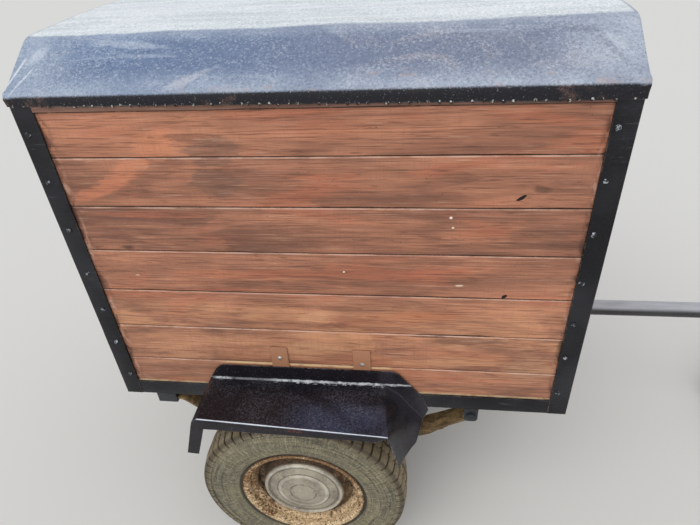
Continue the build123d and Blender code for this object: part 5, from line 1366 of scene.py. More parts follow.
def add_grid(work, grid):
    """Faces between rows of points; where two corners meet, a triangle."""
    verts = [[work.verts.new(point) for point in line] for line in grid]
    for row, after in zip(verts, verts[1:]):
        for column in range(len(row) - 1):
            kept = []
            for vert in (row[column], row[column + 1], after[column + 1], after[column]):
                if all((vert.co - other.co).length > 1e-6 for other in kept):
                    kept.append(vert)
            if len(kept) > 2:
                work.faces.new(kept)


def rows_of(first, last, rows):
    return [[a.lerp(b, row / rows) for a, b in zip(first, last)] for row in range(rows + 1)]


def build_guard(sizes, side):
    """One mudguard: folded panel, clipped apron, wall flange, lip and leg, with soft dents."""
    top = FRAME_LOW + sizes.top_rise
    rear = BOX_REAR + sizes.rear_setback
    front = BOX_REAR + sizes.front_setback
    wall = HALF_WIDTH + sizes.sheet
    flared = front + GUARD_FLARE
    work = bmesh.new()

    def outer(x):
        share = (x - rear) / (front - rear)
        return HALF_WIDTH + sizes.rear_outreach + share * (sizes.front_outreach - sizes.rear_outreach)

    def upright(line, heights=None, y=None):
        """Points over an (x, z) line, on the outer edge or on one plane, at another line's heights if given."""
        return [Vector((x, outer(x) if y is None else y, between(heights, x) if heights else z)) for x, z in line]

    # The sheet's stations from the rear fold to the apron's end, as (x, z) on its inner and its outer edge
    back, down = GUARD_REAR_FOLD
    stretch = (flared - rear) / (front - rear)
    panel_runs = [0.0, LEG_SLANT_REACH, 0.022, 0.032, 0.043]
    panel_runs += [0.043 + (flared - LIP_CUTBACK - rear - 0.043) * step / 18 for step in range(1, 19)]
    panel_runs += [flared - LIP_CUTBACK / 2 - rear, flared - rear]
    fold = [(rear - back * share, top - down * share) for share in (1.0, 0.5)]
    lip_line = fold + [(rear + run, top) for run in panel_runs]
    inner_line = fold + [(rear + run / stretch, top) for run in panel_runs]
    outer_line = list(lip_line)
    inner_at, outer_at = (front, top), (flared, top)
    for (inner_reach, inner_drop), (outer_reach, outer_drop), count in zip(APRON_INNER, APRON_OUTER, (3, 6)):
        inner_to, outer_to = (front + inner_reach, top - inner_drop), (front + outer_reach, top - outer_drop)
        for line, start, end in ((inner_line, inner_at, inner_to), (outer_line, outer_at, outer_to)):
            line += [tuple(a + step / count * (b - a) for a, b in zip(start, end)) for step in range(1, count + 1)]
        inner_at, outer_at = inner_to, outer_to
    add_grid(work, rows_of(upright(inner_line, y=wall), upright(outer_line), 8))

    # Flange against the wall
    outline = [(rear - back, top - down), (rear + FLANGE_INSET, top + sizes.flange_rise)]
    outline += [(front + reach, top + rise) for reach, rise in FLANGE_NOSE]
    head = rounded(outline, [0, FLANGE_RADIUS, 0.008, 0.010, 0], steps=5, closed=False)
    foot = inner_line + [tuple(outline[-1])]
    columns = inner_line + [(inner_at[0] + (outline[-1][0] - inner_at[0]) * share, 0.0) for share in (0.5, 1.0)]
    add_grid(work, rows_of(upright(columns, head, wall), upright(columns, foot, wall), 4))

    # Outer lip, then the leg below its rear end
    slant = rear + LEG_SLANT_REACH
    lip_foot = [outer_line[0], (slant, top - LIP_REAR_DROP), (flared - LIP_CUTBACK, top - LIP_FRONT_DROP),
                (flared, top)]
    add_grid(work, rows_of(upright(lip_line), upright(lip_line, lip_foot), 3))
    leg_top = [Vector((x, between(lip_foot, x))) for x, z in lip_line if x < slant + 1e-6]
    leg_foot = []
    for point in leg_top:
        across = (point.x - leg_top[0].x) / (leg_top[-1].x - leg_top[0].x)
        leg_foot.append(Vector((rear - LEG_SETBACK - LEG_WIDTH * (1 - across), top - LEG_DROP)))
    add_grid(work, [upright(line) for line in rows_of(leg_top, leg_foot, 5)])
    bmesh.ops.remove_doubles(work, verts=work.verts, dist=1e-5)

    # The apron's outer lower corner is clipped along a line in (y, z)
    corner = Vector((outer(outer_at[0]), outer_at[1]))
    cut_low = Vector((HALF_WIDTH, inner_at[1])).lerp(corner, APRON_CLIP[0])
    cut = Vector((outer(flared), top)).lerp(corner, APRON_CLIP[1]) - cut_low
    apron = [face for face in work.faces if face.calc_center_median().x > front + 0.010
             and wall + 0.001 < face.calc_center_median().y and face.calc_center_median().z < top - 0.002]
    parts = dict.fromkeys(apron)
    for face in apron:
        parts.update(dict.fromkeys([*face.edges, *face.verts]))
    bmesh.ops.bisect_plane(work, geom=list(parts), plane_co=(0, cut_low.x, cut_low.y), plane_no=(0, cut.y, -cut.x),
                           clear_outer=True)
    turned_up(work, lambda face: face.calc_center_median().z if face.normal.z ** 2 > 0.8 else -1)
    folds = [edge for edge in work.edges if len(edge.link_faces) == 2 and edge.calc_face_angle(0) > math.radians(24)
             and min(vert.co.x for vert in edge.verts) > rear - 1e-4]
    bmesh.ops.bevel(work, geom=folds, offset=sizes.bend, segments=3, profile=0.5, affect="EDGES", clamp_overlap=True)
    long_edges = [edge for edge in work.edges if edge.calc_length() > 0.012]
    bmesh.ops.subdivide_edges(work, edges=long_edges, cuts=1, use_grid_fill=True)
    for vert in work.verts:
        x, y, z = vert.co
        free = min(1.0, max(0.0, (y - wall) / 0.03)) if z < top + 0.002 else 0.22
        dent = wave(x * 9.0, y * 9.0, z * 9.0, 21) + 0.4 * wave(x * 26.0, y * 26.0, z * 26.0, 22)
        dent += 0.25 * wave(x * 60.0, y * 60.0, z * 60.0, 24)
        vert.co -= vert.normal * sizes.dent * free * (0.35 + 0.45 * dent)
    # The bevel leaves its faces in an order that changes from run to run
    work.faces.sort(key=lambda face: face.calc_center_median().dot(Vector((1.0, 0.731, 0.419))))
    made = sheeted("guard", mesh_from(work, "guard"), sizes.sheet)
    if side < 0:
        made.transform(Matrix.Scale(-1, 4, (0, 1, 0)))
        made.flip_normals()
    return cleaned(made, 45, outward=False)


def tab_parts():
    """The mudguards' wall tabs and the places of their bolts."""
    meshes, spots = [], []
    face = HALF_WIDTH - 0.001
    for sign in (-1, 1):
        for setback, bolt_z in ((0.454, 0.154), (0.662, 0.143)):
            x = BOX_REAR + setback
            corners = [(x - 0.022, sign * (HALF_WIDTH - 0.005), tab_low.z), (x + 0.022, sign * face, tab_high.z)]
            low, high = ([pick(a, b) for a, b in zip(*corners)] for pick in (min, max))
            meshes.append(box_mesh("tab", low, high, 0.0016))
            spots.append(spot((x + 0.001, sign * face, FRAME_LOW + bolt_z), (0, sign, 0)))
    return meshes, spots


# Shapes: wheels

def build_tyre(sizes, side):
    """Casing with its tread groove floor, shoulders and beads, as one closed lathe."""
    half, bead_seat = TYRE_HALF, RIM_RADIUS - 0.0152
    height = TYRE_RADIUS - RIM_RADIUS
    floor = TYRE_RADIUS - sizes.lug_height
    wall = [(0.001, 0.825), (0.0055, 0.865), (0.009, 0.925), (0.022, 0.965), (0.025, 0.955), (0.028, 0.968),
            (0.43 * height, 0.995), (0.56 * height, 0.99), (0.68 * height, 0.955), (0.76 * height, 0.905)]
    outer = [(bead_seat, 0.820), *((RIM_RADIUS + rise, share) for rise, share in wall), (floor - 0.008, 0.84),
             (floor - 0.003, 0.76), (floor, 0.55), (floor + 0.001, 0.0)]
    outer = [(radius, share * half) for radius, share in outer]
    outer += [(radius, -across) for radius, across in reversed(outer[:-1])]
    last = len(outer) - 1
    radii = [0.0] + [0.012 if 5 < i < last - 5 else 0.002 for i in range(1, last)] + [0.0]
    inner = [(bead_seat, 0.68 * half), (RIM_RADIUS + 0.04, 0.84 * half), (TYRE_RADIUS - 0.035, 0.80 * half),
             (TYRE_RADIUS - 0.020, 0.5 * half)]
    loop = rounded(outer, radii, steps=3, closed=False) + [(r, -w) for r, w in inner] + inner[::-1]
    return cleaned(lathed("tyre", loop, side, sizes.lathe_steps), 30)


def lug_mesh(sizes):
    """A shoulder tread block: Z runs out along the radius, X outboard, Y round the tyre."""
    half = TYRE_HALF
    width = 2 * math.pi * TYRE_RADIUS / sizes.lug_count - sizes.lug_gap
    points = [(0.42, -0.001), (0.66, -0.003), (0.82, -0.0055), (0.90, -0.0105), (0.945, -0.0195), (0.945, -0.0265),
              (0.86, -0.0265), (0.80, -0.014), (0.42, -0.0115)]
    radii = [0.0012, 0.004, 0.004, 0.004, 0.003, 0.001, 0, 0.004, 0]
    section = rounded([(share * half, z) for share, z in points], radii, steps=2)
    cuts = ((-0.5, 0.0011), (-0.46, 0.0), (-0.15, 0.0), (0.15, 0.0), (0.46, 0.0), (0.5, 0.0011))
    rings = [[Vector((x, across * width * (1 - 0.06 * max(0, x / half - 0.7)), z - shrink)) for x, z in section]
             for across, shrink in cuts]
    return cleaned(lofted("lug", rings), 34)


def rib_mesh(sizes):
    """A centre tread block, between two zigzag grooves."""
    reach = (2 * math.pi * TYRE_RADIUS / sizes.lug_count - sizes.lug_gap * 0.45) / 2
    low, high, lean = 0.04 * TYRE_HALF, 0.33 * TYRE_HALF, 0.1 * TYRE_HALF
    work = bmesh.new()
    corners = [(low, -reach), (high, -reach + 0.002), (high + lean, 0.0), (high, reach - 0.002), (low, reach),
               (low + lean, 0.0)]
    foot, head = ([work.verts.new((x, y, z)) for x, y in corners] for z in (-sizes.lug_height - 0.003, -0.0003))
    for index in range(6):
        after = (index + 1) % 6
        work.faces.new((foot[index], foot[after], head[after], head[index]))
    crown = work.faces.new(head)
    work.faces.new(list(reversed(foot)))
    bmesh.ops.bevel(work, geom=list(crown.edges), offset=0.0012, segments=2, affect="EDGES", profile=0.5)
    return cleaned(mesh_from(work, "rib"), 34)


def lug_spots(sizes, side):
    """Places on both shoulders, half a block apart from side to side."""
    spots = []
    for step in range(sizes.lug_count):
        for way in (-1, 1):
            angle = 2 * math.pi * (step + way * 0.25) / sizes.lug_count
            radial = Vector((math.sin(angle), 0, math.cos(angle)))
            spots.append(spot(wheel_centre(side) + radial * TYRE_RADIUS, radial, (0, way, 0)))
    return spots


def build_rim(sizes, side):
    """Rolled flange, bead seats and drop centre in one closed section, the dished disc in another, and the valve."""
    half, t = RIM_HALF, sizes.rim_sheet
    flange, seat, well = RIM_RADIUS, RIM_RADIUS - 0.0155, RIM_RADIUS - 0.033
    barrel = [(flange - 0.002, half - 0.0002), (flange, half - 0.002), (flange - 0.001, half - t - 0.0005),
              (flange - 0.004, half - t - 0.0012), (seat + 0.003, half - t - 0.0012), (seat, half - t - 0.004),
              (seat, 0.55 * half), (well, 0.40 * half), (well, -0.40 * half), (seat, -0.55 * half),
              (seat, t + 0.004 - half), (seat + 0.003, t + 0.0012 - half), (flange - 0.004, t + 0.0012 - half),
              (flange, 0.002 - half), (flange - 0.002, -half), (seat, 0.001 - half), (seat - t, 0.006 - half),
              (seat - t, -0.55 * half - t), (well - t, -0.40 * half - t), (well - t, 0.40 * half + t),
              (seat - t, 0.55 * half + t), (seat - t, half - 0.008), (seat - 0.0005, half - 0.003),
              (seat + 0.006, half - 0.0006)]
    cap, seat_out = 0.109, half - 0.022
    face = [(well - t / 2, 0.008), (cap + 0.022, 0.0085), (cap + 0.010, 0.012), (cap - 0.002, seat_out),
            (cap - 0.024, seat_out), (0.072, 0.034), (0.036, 0.034)]
    back = [(r - (0.0015 if i in (2, 3) else 0), w - 0.004) for i, (r, w) in enumerate(face)]
    bends = [0, 0.01, 0.008, 0.008, 0.008, 0.01, 0]
    disc = rounded(face + back[::-1], bends + bends[::-1], steps=4)
    meshes = [cleaned(lathed("rim", outline, side, sizes.lathe_steps), 34)
              for outline in (rounded(barrel, 0.0025, steps=3), disc)]
    stem = spun([(0.0, 0.034), (0.0024, 0.034), (0.0034, 0.031), (0.0036, 0.027), (0.0030, 0.026), (0.0030, 0.010),
                 (0.0055, 0.006), (0.0060, -0.004), (0.0, -0.004)], 14)
    angle, radius = math.radians(152), 0.1385
    place = wheel_centre(side) + Vector((math.sin(angle), 0, math.cos(angle))) * radius + Vector((0, side * 0.012, 0))
    stem.transform(Matrix.Translation(place) @ Matrix.Rotation(-side * math.pi / 2, 4, "X"))
    return cleaned(joined("rim", meshes + [stem]), 34)


def build_cap(sizes, side):
    """Pressed hubcap: rolled ring, groove, rings of the face and domed middle."""
    r, edge, t = CAP_RADIUS, RIM_HALF - 0.017, 0.0014
    face = [(0.0, 0.0140), (0.14, 0.0136), (0.28, 0.0124), (0.31, 0.0112), (0.34, 0.0112), (0.40, 0.0106),
            (0.52, 0.0088), (0.565, 0.0082), (0.60, 0.0070), (0.64, 0.0064), (0.70, 0.0053), (0.78, 0.0040),
            (0.83, 0.0022), (0.865, 0.0010), (0.885, 0.0016), (0.905, 0.0044), (0.93, 0.0054), (0.96, 0.0050),
            (0.985, 0.0030), (1.0, 0.0)]
    outer = [(share * r, edge + rise) for share, rise in face] + [(r, edge - 0.0045)]
    inner = [(r - t, edge - 0.0045)]
    inner += [(max(0.0, share * r - (t if share > 0.95 else 0)), edge + rise - t) for share, rise in reversed(face)]
    return cleaned(lathed("cap", outer + inner, side, sizes.lathe_steps, closed=False), 26)


# Shapes: springs. The rear span and the tail's drop place the flat tail from the axle and the frame's foot.

LEAF_THICK = 0.007
LEAF_REACHES = (1.0, 0.87, 0.79, 0.55, 0.3)
SPRING_WIDTH = 0.050
EYE_BORE = 0.0083
REAR_SPAN = 0.345
TAIL_DROP = 0.023


def bent_strip(line, thick, width, middle, taper=0.0):
    """A flat spring bar along (x, z) points, its ends thinned and narrowed over a length."""
    lengths = run_lengths(line)
    rings = []
    for point, normal, length_here in zip(line, normals_of(line), lengths):
        left = min(length_here, lengths[-1] - length_here)
        full = 1.0 if taper == 0 else min(1.0, left / taper)
        half = width / 2 * (0.74 + 0.26 * full)
        low, high = -thick * (0.10 + 0.40 * full), thick / 2
        section = rounded([(low, -half), (high, -half), (high, half), (low, half)], 0.0014, steps=2)
        rings.append([Vector((point.x + normal.x * rise, middle + across, point.y + normal.y * rise))
                      for rise, across in section])
    return lofted("strip", rings)


def spring_parts():
    """Leaf springs with separate tapered leaves, a rolled front eye, a flat tail and clips."""
    low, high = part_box("leaf_springs")
    thick, width = LEAF_THICK, SPRING_WIDTH
    wall = EYE_BORE + thick
    eye = Vector((high.x - wall, high.z - wall))
    tail = Vector((AXLE.x - REAR_SPAN, FRAME_LOW - TAIL_DROP))
    main_z = low.z + thick * (len(LEAF_REACHES) - 0.5)
    rise = EYE_BORE + thick / 2
    halves = {}
    for end, span, lift in ((1, eye.x - AXLE.x, eye.y - main_z - rise), (-1, REAR_SPAN, tail.y - main_z)):
        path = (span ** 2 + lift ** 2) / (2 * lift)
        halves[end] = (path + (rise if end > 0 else 0.0), math.asin(span / path))

    def on_leaf(share, row):
        """A point on a leaf's middle line; share runs from -1 at the tail to 1 at the eye."""
        end = 1 if share > 0 else -1
        radius, angle = halves[end]
        arm = radius + row * thick
        turn = abs(share) * angle
        return Vector((AXLE.x + end * arm * math.sin(turn), main_z + radius - arm * math.cos(turn)))

    meshes = []
    for side in (-1, 1):
        middle = side * (high.y - width / 2)
        for row, reach in enumerate(LEAF_REACHES):
            count = max(12, round(60 * reach))
            line = [on_leaf(-reach + 2 * reach * step / count, row) for step in range(count + 1)]
            if row == 0:
                flat = [Vector((low.x + (tail.x - low.x) * share, tail.y)) for share in (0.0, 0.3, 0.6)]
                line = flat + [tail] + [point for point in line if (point - tail).length > 0.026]
                line = rounded(line, [0.045 if point is tail else 0 for point in line], steps=6, closed=False)
            meshes.append(bent_strip(line, thick - 0.0005, width, middle, 0.0 if row == 0 else 0.030))
        section = rounded([(EYE_BORE, -width / 2), (wall, -width / 2), (wall, width / 2), (EYE_BORE, width / 2)],
                          0.0014, steps=2)
        turns = [halves[1][1] + math.radians(-8 + 326 * step / 26) for step in range(27)]
        meshes.append(lofted("eye", [[Vector((eye.x + r * math.sin(turn), middle + w, eye.y - r * math.cos(turn)))
                                      for r, w in section] for turn in turns]))
        for share in (-0.42, 0.40):
            line = [on_leaf(share + step * 0.0125, 1.5) for step in (-1, -0.9, 0.9, 1)]
            meshes.append(bent_strip(line, 4 * thick + 0.004, width + 0.005, middle))
    return meshes


# Operators: one for the stage and one for each group of pieces

BATTEN_WIDTH = 0.060
HINGE_LINE = 0.4165
IRON_PLATE = 0.003
HINGE_ROWS = (1.5, 5.5)


def row_height(rows):
    """Height of a place counted in board rows from the floor."""
    return FLOOR_TOP + rows * BOARD_PITCH


def rear_spot(y, z, proud=-IRON_PLATE):
    return spot((BOX_REAR + proud, y, z), (-1, 0, 0), (0, 1, 0))


def door_bolt_spots(sign):
    """Bolts that ride on one door: through its straps, its hasp if it has one, and its battens."""
    spots = []
    for row in HINGE_ROWS:
        for reach, wide in ((0.040, -0.007), (0.040, 0.007), (0.120, 0.0), (0.190, 0.0), (0.255, 0.0)):
            spots.append(rear_spot(sign * (HINGE_LINE - reach), row_height(row) + wide))
    if sign < 0:
        spots += [rear_spot(-0.0585 + across, row_height(3.5) + rise) for rise in (-0.022, 0.022)
                  for across in (-0.010, 0.010)]
    for row, share in enumerate((0.62, 0.5, 0.5, 0.5, 0.5, 0.5, 0.38)):
        z = row_height(row + share) + (0.036 if row in (1, 5) else 0.0)
        spots += [rear_spot(sign * y, z, 0.0006) for y in (0.042, 0.386)]
    return spots


def post_bolt_spots(sign):
    """Bolts that hold one door's hinge leaves to its post."""
    return [rear_spot(sign * (HALF_WIDTH - inset), row_height(row) + rise) for row in HINGE_ROWS
            for inset, rise in ((0.016, -0.020), (0.016, 0.020), (0.030, 0.0))]


class TRAILER_OT_stage(bpy.types.Operator):
    """Sets the floor, the lights and the camera"""
    bl_idname = "trailer.stage"
    bl_label = "Stage"

    def execute(self, context):
        sizes = look(context, "stage")
        scene = context.scene
        scene.view_settings.view_transform = "Standard"
        reach = sizes.floor_size
        floor = placed("floor", mesh_of("floor", [(-reach, -reach, 0), (reach, -reach, 0), (reach, reach, 0),
                                                  (-reach, reach, 0)], [(0, 1, 2, 3)]))
        made = bpy.data.materials.new("Studio floor")
        made.use_nodes = True
        Net(made.node_tree).fill(made.node_tree.nodes["Principled BSDF"].inputs,
                                 {"Base Color": sizes.floor_colour, "Roughness": 0.85})
        floor.data.materials.append(made)
        world = bpy.data.worlds.new("Studio")
        world.use_nodes = True
        backdrop = world.node_tree.nodes["Background"].inputs
        backdrop["Color"].default_value = (0.93, 0.96, 1.0, 1.0)
        backdrop["Strength"].default_value = sizes.world_level
        scene.world = world
        lamp = bpy.data.lights.new("Soft sun", "SUN")
        lamp.energy = sizes.sun_level
        lamp.angle = math.radians(sizes.sun_spread)
        lamp.color = (1.0, 0.98, 0.95)
        sun = placed("Soft sun", lamp)
        sun.rotation_euler = (math.radians(38), math.radians(-18), 0)
        lens = bpy.data.cameras.new("Camera")
        lens.lens = sizes.lens
        lens.sensor_width = 36.0
        lens.clip_end = 200.0
        camera = placed("Camera", lens)
        camera.location = sizes.camera_place
        camera.rotation_euler = sizes.camera_turn
        scene.camera = camera
        return {"FINISHED"}


class TRAILER_OT_boards(bpy.types.Operator):
    """Lays the lapped boards of the walls and doors"""
    bl_idname = "trailer.boards"
    bl_label = "Lapped boards"

    def execute(self, context):
        sizes = look(context, "timber")
        inset = look(context, "frame").thick
        along_y = timber_finish("Stained boards along Y", sizes, turn=(0, 0, math.pi / 2))
        run_x = ("x", BOX_REAR + inset, BOX_FRONT - inset)
        for number, (side, sign) in enumerate(SIDES):
            name = f"side_boards_{side}"
            marks = RIGHT_WALL_MARKS if sign < 0 else LEFT_WALL_MARKS
            along_x = timber_finish(f"Stained boards {side}", sizes, marks=marks)
            low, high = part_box(name)
            face = low.y if sign < 0 else high.y
            mesh = lapped_wall(name, sizes, face, -sign, run_x, low.z, high.z, 3 + number)
            piece(f"boards_{side}", mesh, "chassis", "stained_wood", along_x, name)
        low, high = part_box("front_boards")
        mesh = lapped_wall("front", sizes, high.x, -1, ("y", low.y, high.y), low.z, high.z, 7)
        piece("boards_front", mesh, "chassis", "stained_wood", along_y, "front_boards")
        for number, (side, sign) in enumerate(SIDES):
            low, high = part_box(f"door_boards_{side}")
            mesh = lapped_wall("door", sizes, low.x, 1, ("y", low.y, high.y), low.z, high.z, 9 + number)
            piece(f"boards_door_{side}", mesh, f"door_{side}", "stained_wood", along_y, f"door_boards_{side}")
        return {"FINISHED"}


class TRAILER_OT_frame(bpy.types.Operator):
    """Makes the angle-iron posts and rails with their welds and screws"""
    bl_idname = "trailer.frame"
    bl_label = "Angle-iron frame"

    def execute(self, context):
        sizes = look(context, "frame")
        paint = painted_finish("Black gloss paint", sizes.paint, sizes.paint_dust, rough=0.20, dust=0.20, wear=0.75,
                               bare=(150, 128, 112), gloss=0.26, lumps=0.30)
        for name, bars, node_name in (("posts", post_bars, "corner_posts"), ("rails", rail_bars, "bottom_rails")):
            group_piece(name, bars(sizes), 35, "chassis", "black_paint", paint, node_name)
        welds = []
        low, high = FRAME_LOW + 0.002, FRAME_LOW + sizes.leg - 0.002
        inner = HALF_WIDTH - sizes.leg
        corners = [(way, corner, side) for way, corner in ENDS for side in (-1, 1)]
        for seed, (way, corner, side) in enumerate(corners, 1):
            for x, y, number in ((corner - way * sizes.leg, HALF_WIDTH, seed), (corner, inner, seed + 9)):
                welds.append(bead((x, side * y, low), (x, side * y, high), 0.0015, number))
        group_piece("frame_welds", welds, 60, "chassis", "black_paint", paint)
        # Black-painted screw heads. The pale metal between the dark patches is painted glints.
        heads = metal_finish("Painted screws", (168, 172, 180), (20, 20, 25), rough=0.26, metallic=0.3, dirt=3.0,
                             grain=150.0)
        screw = dome_mesh(sizes.screw_radius, sizes.screw_height)
        fixings("post_screws", screw_spots(sizes), screw, heads, "chassis", "black_paint", seed=4)
        return {"FINISHED"}


class TRAILER_OT_roof(bpy.types.Operator):
    """Lays the roof covering and drives its tacks"""
    bl_idname = "trailer.roof"
    bl_label = "Roof covering"

    def execute(self, context):
        sizes = look(context, "roof")
        piece("roof_sheet", build_roof_sheet(sizes), "chassis", "roof_covering", roof_finish(sizes), "roof_cover")
        tack = dome_mesh(sizes.tack_radius, 0.0020, skirt=0.0008, sides=10, rings=3)
        # Dark tack heads. The pale metal between the dark patches is painted glints.
        heads = metal_finish("Tack heads", (188, 184, 178), (26, 22, 22), rough=0.30, metallic=0.3, dirt=3.0,
                             grain=220.0)
        fixings("roof_tacks", tack_spots(sizes), tack, heads, "chassis", "zinc", spread=0.16, seed=6)
        strip = timber_finish("Eave strip timber", look(context, "timber"), bright=(134, 99, 84), dark=(72, 50, 44),
                              wear=0.25)
        group_piece("strips", strip_bars(), 40, "chassis", "bare_wood", strip, "eave_strips")
        return {"FINISHED"}


class TRAILER_OT_guards(bpy.types.Operator):
    """Folds the mudguards and bolts them to their tabs"""
    bl_idname = "trailer.guards"
    bl_label = "Mudguards"

    def execute(self, context):
        sizes = look(context, "guard")
        paint = guard_finish(sizes)
        for side, sign in SIDES:
            piece(f"mudguard_{side}", build_guard(sizes, sign), "chassis", "mudguard_paint", paint, f"fender_{side}")
        tab_paint = painted_finish("Stained tab paint", (168, 118, 90), (206, 164, 128), rough=0.5, dust=0.30, wear=1.0,
                                   bare=(112, 78, 60), gloss=0.3)
        meshes, spots = tab_parts()
        group_piece("tabs", meshes, 40, "chassis", "mudguard_paint", tab_paint, "fender_tabs")
        bright = metal_finish("Bright bolts", (206, 204, 198), (110, 88, 70), rough=0.3, dirt=0.45, rust=0.2)
        fixings("tab_bolts", spots, dome_mesh(0.0062, 0.0040), bright, "chassis", "zinc", seed=8)
        return {"FINISHED"}


class TRAILER_OT_wheels(bpy.types.Operator):
    """Makes the tyres, rims and hubcaps"""
    bl_idname = "trailer.wheels"
    bl_label = "Wheels"

    def execute(self, context):
        sizes = look(context, "wheel")
        lug, rib = lug_mesh(sizes), rib_mesh(sizes)
        for side, sign in SIDES:
            body = f"wheel_{side}"
            rubber = tyre_finish(f"Tyre rubber {side}", sizes, sign)
            piece(f"casing_{side}", build_tyre(sizes, sign), body, "tyre_rubber", rubber, f"tyre_{side}")
            for name, pattern in (("tread", lug), ("ribs", rib)):
                fixings(f"{name}_{side}", lug_spots(sizes, sign), pattern, rubber, body, "tyre_rubber", spread=0.0,
                        spin=0.0)
            piece(f"pressed_rim_{side}", build_rim(sizes, sign), body, "wheel_paint",
                  rim_finish(f"Rusty rim {side}", sizes, sign), f"rim_{side}")
            piece(f"cap_{side}", build_cap(sizes, sign), body, "hubcap_metal",
                  cap_finish(f"Dull hubcap {side}", sizes, sign), f"hubcap_{side}")
        return {"FINISHED"}


class TRAILER_OT_running_gear(bpy.types.Operator):
    """Makes the leaf springs and bolts them to the axle"""
    bl_idname = "trailer.running_gear"
    bl_label = "Springs and axle"

    def execute(self, context):
        group_piece("leaves", spring_parts(), 32, "chassis", "spring_steel", spring_finish(), "leaf_springs")
        black = painted_finish("Black underside paint", (24, 23, 25), (118, 104, 86), rough=0.5, dust=0.6, wear=0.7,
                               bare=(128, 92, 62), gloss=0.3)
        dress(black, "axle", "spring_plates", "cross_bars")
        hanger = painted_finish("Hanger paint", (22, 23, 28), (120, 132, 140), rough=0.32, dust=0.5, wear=0.9,
                                bare=(158, 168, 172), gloss=0.4)
        dress(hanger, "spring_hangers", "spring_pins")
        steel = metal_finish("Rusty plated steel", (140, 132, 122), (98, 70, 48), rough=0.5, dirt=0.8, rust=0.7)
        dress(steel, "u_bolts")
        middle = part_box("leaf_springs")[1].y - SPRING_WIDTH / 2
        plate_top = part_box("spring_plates")[1].z
        spots = [spot((AXLE.x + along, sign * middle + across, plate_top), (0, 0, 1)) for sign in (-1, 1)
                 for across in (-0.031, 0.031) for along in (-0.0253, 0.0253)]
        nut = hex_mesh(0.0165, 0.008, 0.005, 0.006, 0.0095, 0.0018)
        fixings("u_bolt_nuts", spots, nut, steel, "chassis", "zinc", spread=0.0, seed=3)
        return {"FINISHED"}


class TRAILER_OT_doors(bpy.types.Operator):
    """Finishes the rear doors, their frame and their irons"""
    bl_idname = "trailer.doors"
    bl_label = "Rear doors"

    def execute(self, context):
        timber = look(context, "timber")
        upright = timber_finish("Stained uprights", timber, turn=(0, math.pi / 2, 0))
        dress(upright, "door_frame")
        inside = timber_finish("Bare timber", timber, bright=(166, 128, 94), dark=(112, 80, 58), wear=0.3)
        dress(inside, "floor_panel", "roof_gables", "roof_deck")
        iron = painted_finish("Black iron", (24, 24, 26), (120, 112, 104), rough=0.4, wear=0.8, bare=(140, 120, 104))
        dress(iron, "door_irons_left", "door_irons_right", "hinge_leaves")
        for side, sign in SIDES:
            low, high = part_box(f"door_battens_{side}")
            meshes = [box_mesh("batten", (low.x, y, low.z), (high.x, y + BATTEN_WIDTH, high.z), 0.002)
                      for y in (low.y, high.y - BATTEN_WIDTH)]
            group_piece(f"battens_{side}", meshes, 40, f"door_{side}", "bare_wood", upright, f"door_battens_{side}")
        bolt = dome_mesh(0.0068, 0.0036)
        for side, sign in SIDES:
            bright = metal_finish(f"Plated bolts {side}", (168, 166, 160), (70, 60, 52), rough=0.35, dirt=0.5, rust=0.3)
            fixings(f"door_bolts_{side}", door_bolt_spots(sign), bolt, bright, f"door_{side}", "zinc", seed=5)
            fixings(f"hinge_bolts_{side}", post_bolt_spots(sign), bolt, bright, "chassis", "zinc", seed=5)
        return {"FINISHED"}


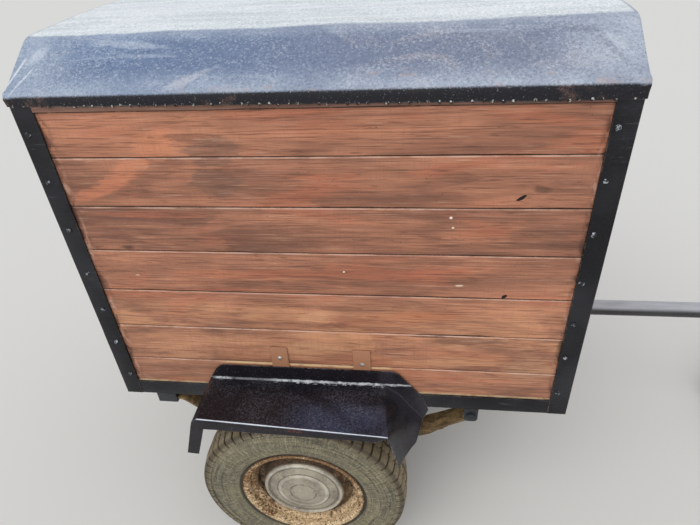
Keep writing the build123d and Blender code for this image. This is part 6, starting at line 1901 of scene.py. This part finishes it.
class TRAILER_OT_drawbar(bpy.types.Operator):
    """Finishes the drawbar, its coupling and the front stand"""
    bl_idname = "trailer.drawbar"
    bl_label = "Drawbar and stand"

    def execute(self, context):
        # The crown colour is a painted highlight along the drawbar's top.
        satin = painted_finish("Satin black paint", (30, 31, 34), (118, 118, 120), rough=0.34, dust=0.5, wear=0.8,
                               bare=(150, 142, 134), gloss=0.4, crown=(176, 178, 184))
        dress(satin, "drawbar", "coupling_head", "chain_plate", "stand_clamp")
        zinc = metal_finish("Zinc plate", (176, 178, 180), (118, 116, 110), metallic=0.8, rust=0.25)
        dress(zinc, "stand_tube", "stand_leg", "stand_fork", "stand_handle", "coupling_handle")
        dress(painted_finish("Stand tyre rubber", (40, 40, 40), (120, 112, 98), rough=0.75, dust=0.7, wear=0.4),
              "stand_wheel")
        dress(painted_finish("Hub paint", (46, 42, 40), (110, 96, 80), rough=0.5), "hub_right", "hub_left")
        spots = [spot((tube_high.x + along, sign * 0.0292, tube_high.z - 0.02415), (0, sign, 0))
                 for along in (-0.085, -0.035) for sign in (-1, 1)]
        nut = hex_mesh(0.019, 0.009, 0.006, 0.005, 0.011, 0.002)
        fixings("coupling_bolts", spots, nut, zinc, "chassis", "zinc", spread=0.0, seed=2)
        crossings = [(x - 0.023, x + 0.023, 0.006, 0.0008, 0.003, x * 9)
                     for x in (BOX_REAR + 0.300, BOX_REAR + 0.585, BOX_REAR + 0.870)]
        crossings.append((BOX_FRONT - 0.042, BOX_FRONT - 0.002, 0.007, 0.0012, 0.0035, 4.4))
        welds = [bead((start, sign * across, FRAME_LOW - sunk), (end, sign * across, FRAME_LOW - sunk), radius, seed)
                 for start, end, across, sunk, radius, seed in crossings for sign in (-1, 1)]
        group_piece("drawbar_welds", welds, 60, "chassis", "black_paint", satin)
        return {"FINISHED"}


class TRAILER_PT_panel(bpy.types.Panel):
    """Sizes of the trailer's pieces, with a button for each"""
    bl_label = "Box trailer"
    bl_idname = "TRAILER_PT_panel"
    bl_space_type = "VIEW_3D"
    bl_region_type = "UI"
    bl_category = "Trailer"

    def draw(self, context):
        for group, operators in PANEL_ROWS:
            sizes = look(context, group)
            box = self.layout.box()
            for name in sizes.__annotations__:
                box.prop(sizes, name)
            for operator in operators:
                box.operator(operator)


PANEL_ROWS = (
    ("stage", ("trailer.stage",)),
    ("timber", ("trailer.boards", "trailer.doors")),
    ("frame", ("trailer.frame", "trailer.running_gear", "trailer.drawbar")),
    ("roof", ("trailer.roof",)),
    ("guard", ("trailer.guards",)),
    ("wheel", ("trailer.wheels",)),
)
OPERATORS = (TRAILER_OT_stage, TRAILER_OT_boards, TRAILER_OT_frame, TRAILER_OT_roof, TRAILER_OT_guards,
             TRAILER_OT_wheels, TRAILER_OT_running_gear, TRAILER_OT_doors, TRAILER_OT_drawbar)


def register():
    for name, kind in GROUPS.items():
        bpy.utils.register_class(kind)
        setattr(bpy.types.Scene, f"trailer_{name}", bpy.props.PointerProperty(type=kind))
    for kind in (*OPERATORS, TRAILER_PT_panel):
        bpy.utils.register_class(kind)


def unregister():
    for kind in (TRAILER_PT_panel, *reversed(OPERATORS)):
        bpy.utils.unregister_class(kind)
    for name, kind in GROUPS.items():
        delattr(bpy.types.Scene, f"trailer_{name}")
        bpy.utils.unregister_class(kind)


def main():
    register()
    build_wood_group()
    build_effect_groups()
    for _, operators in PANEL_ROWS:
        for operator in operators:
            area, name = operator.split(".")
            if getattr(getattr(bpy.ops, area), name)() != {"FINISHED"}:
                raise RuntimeError(f"{operator} did not finish")


if __name__ == "__main__":
    main()
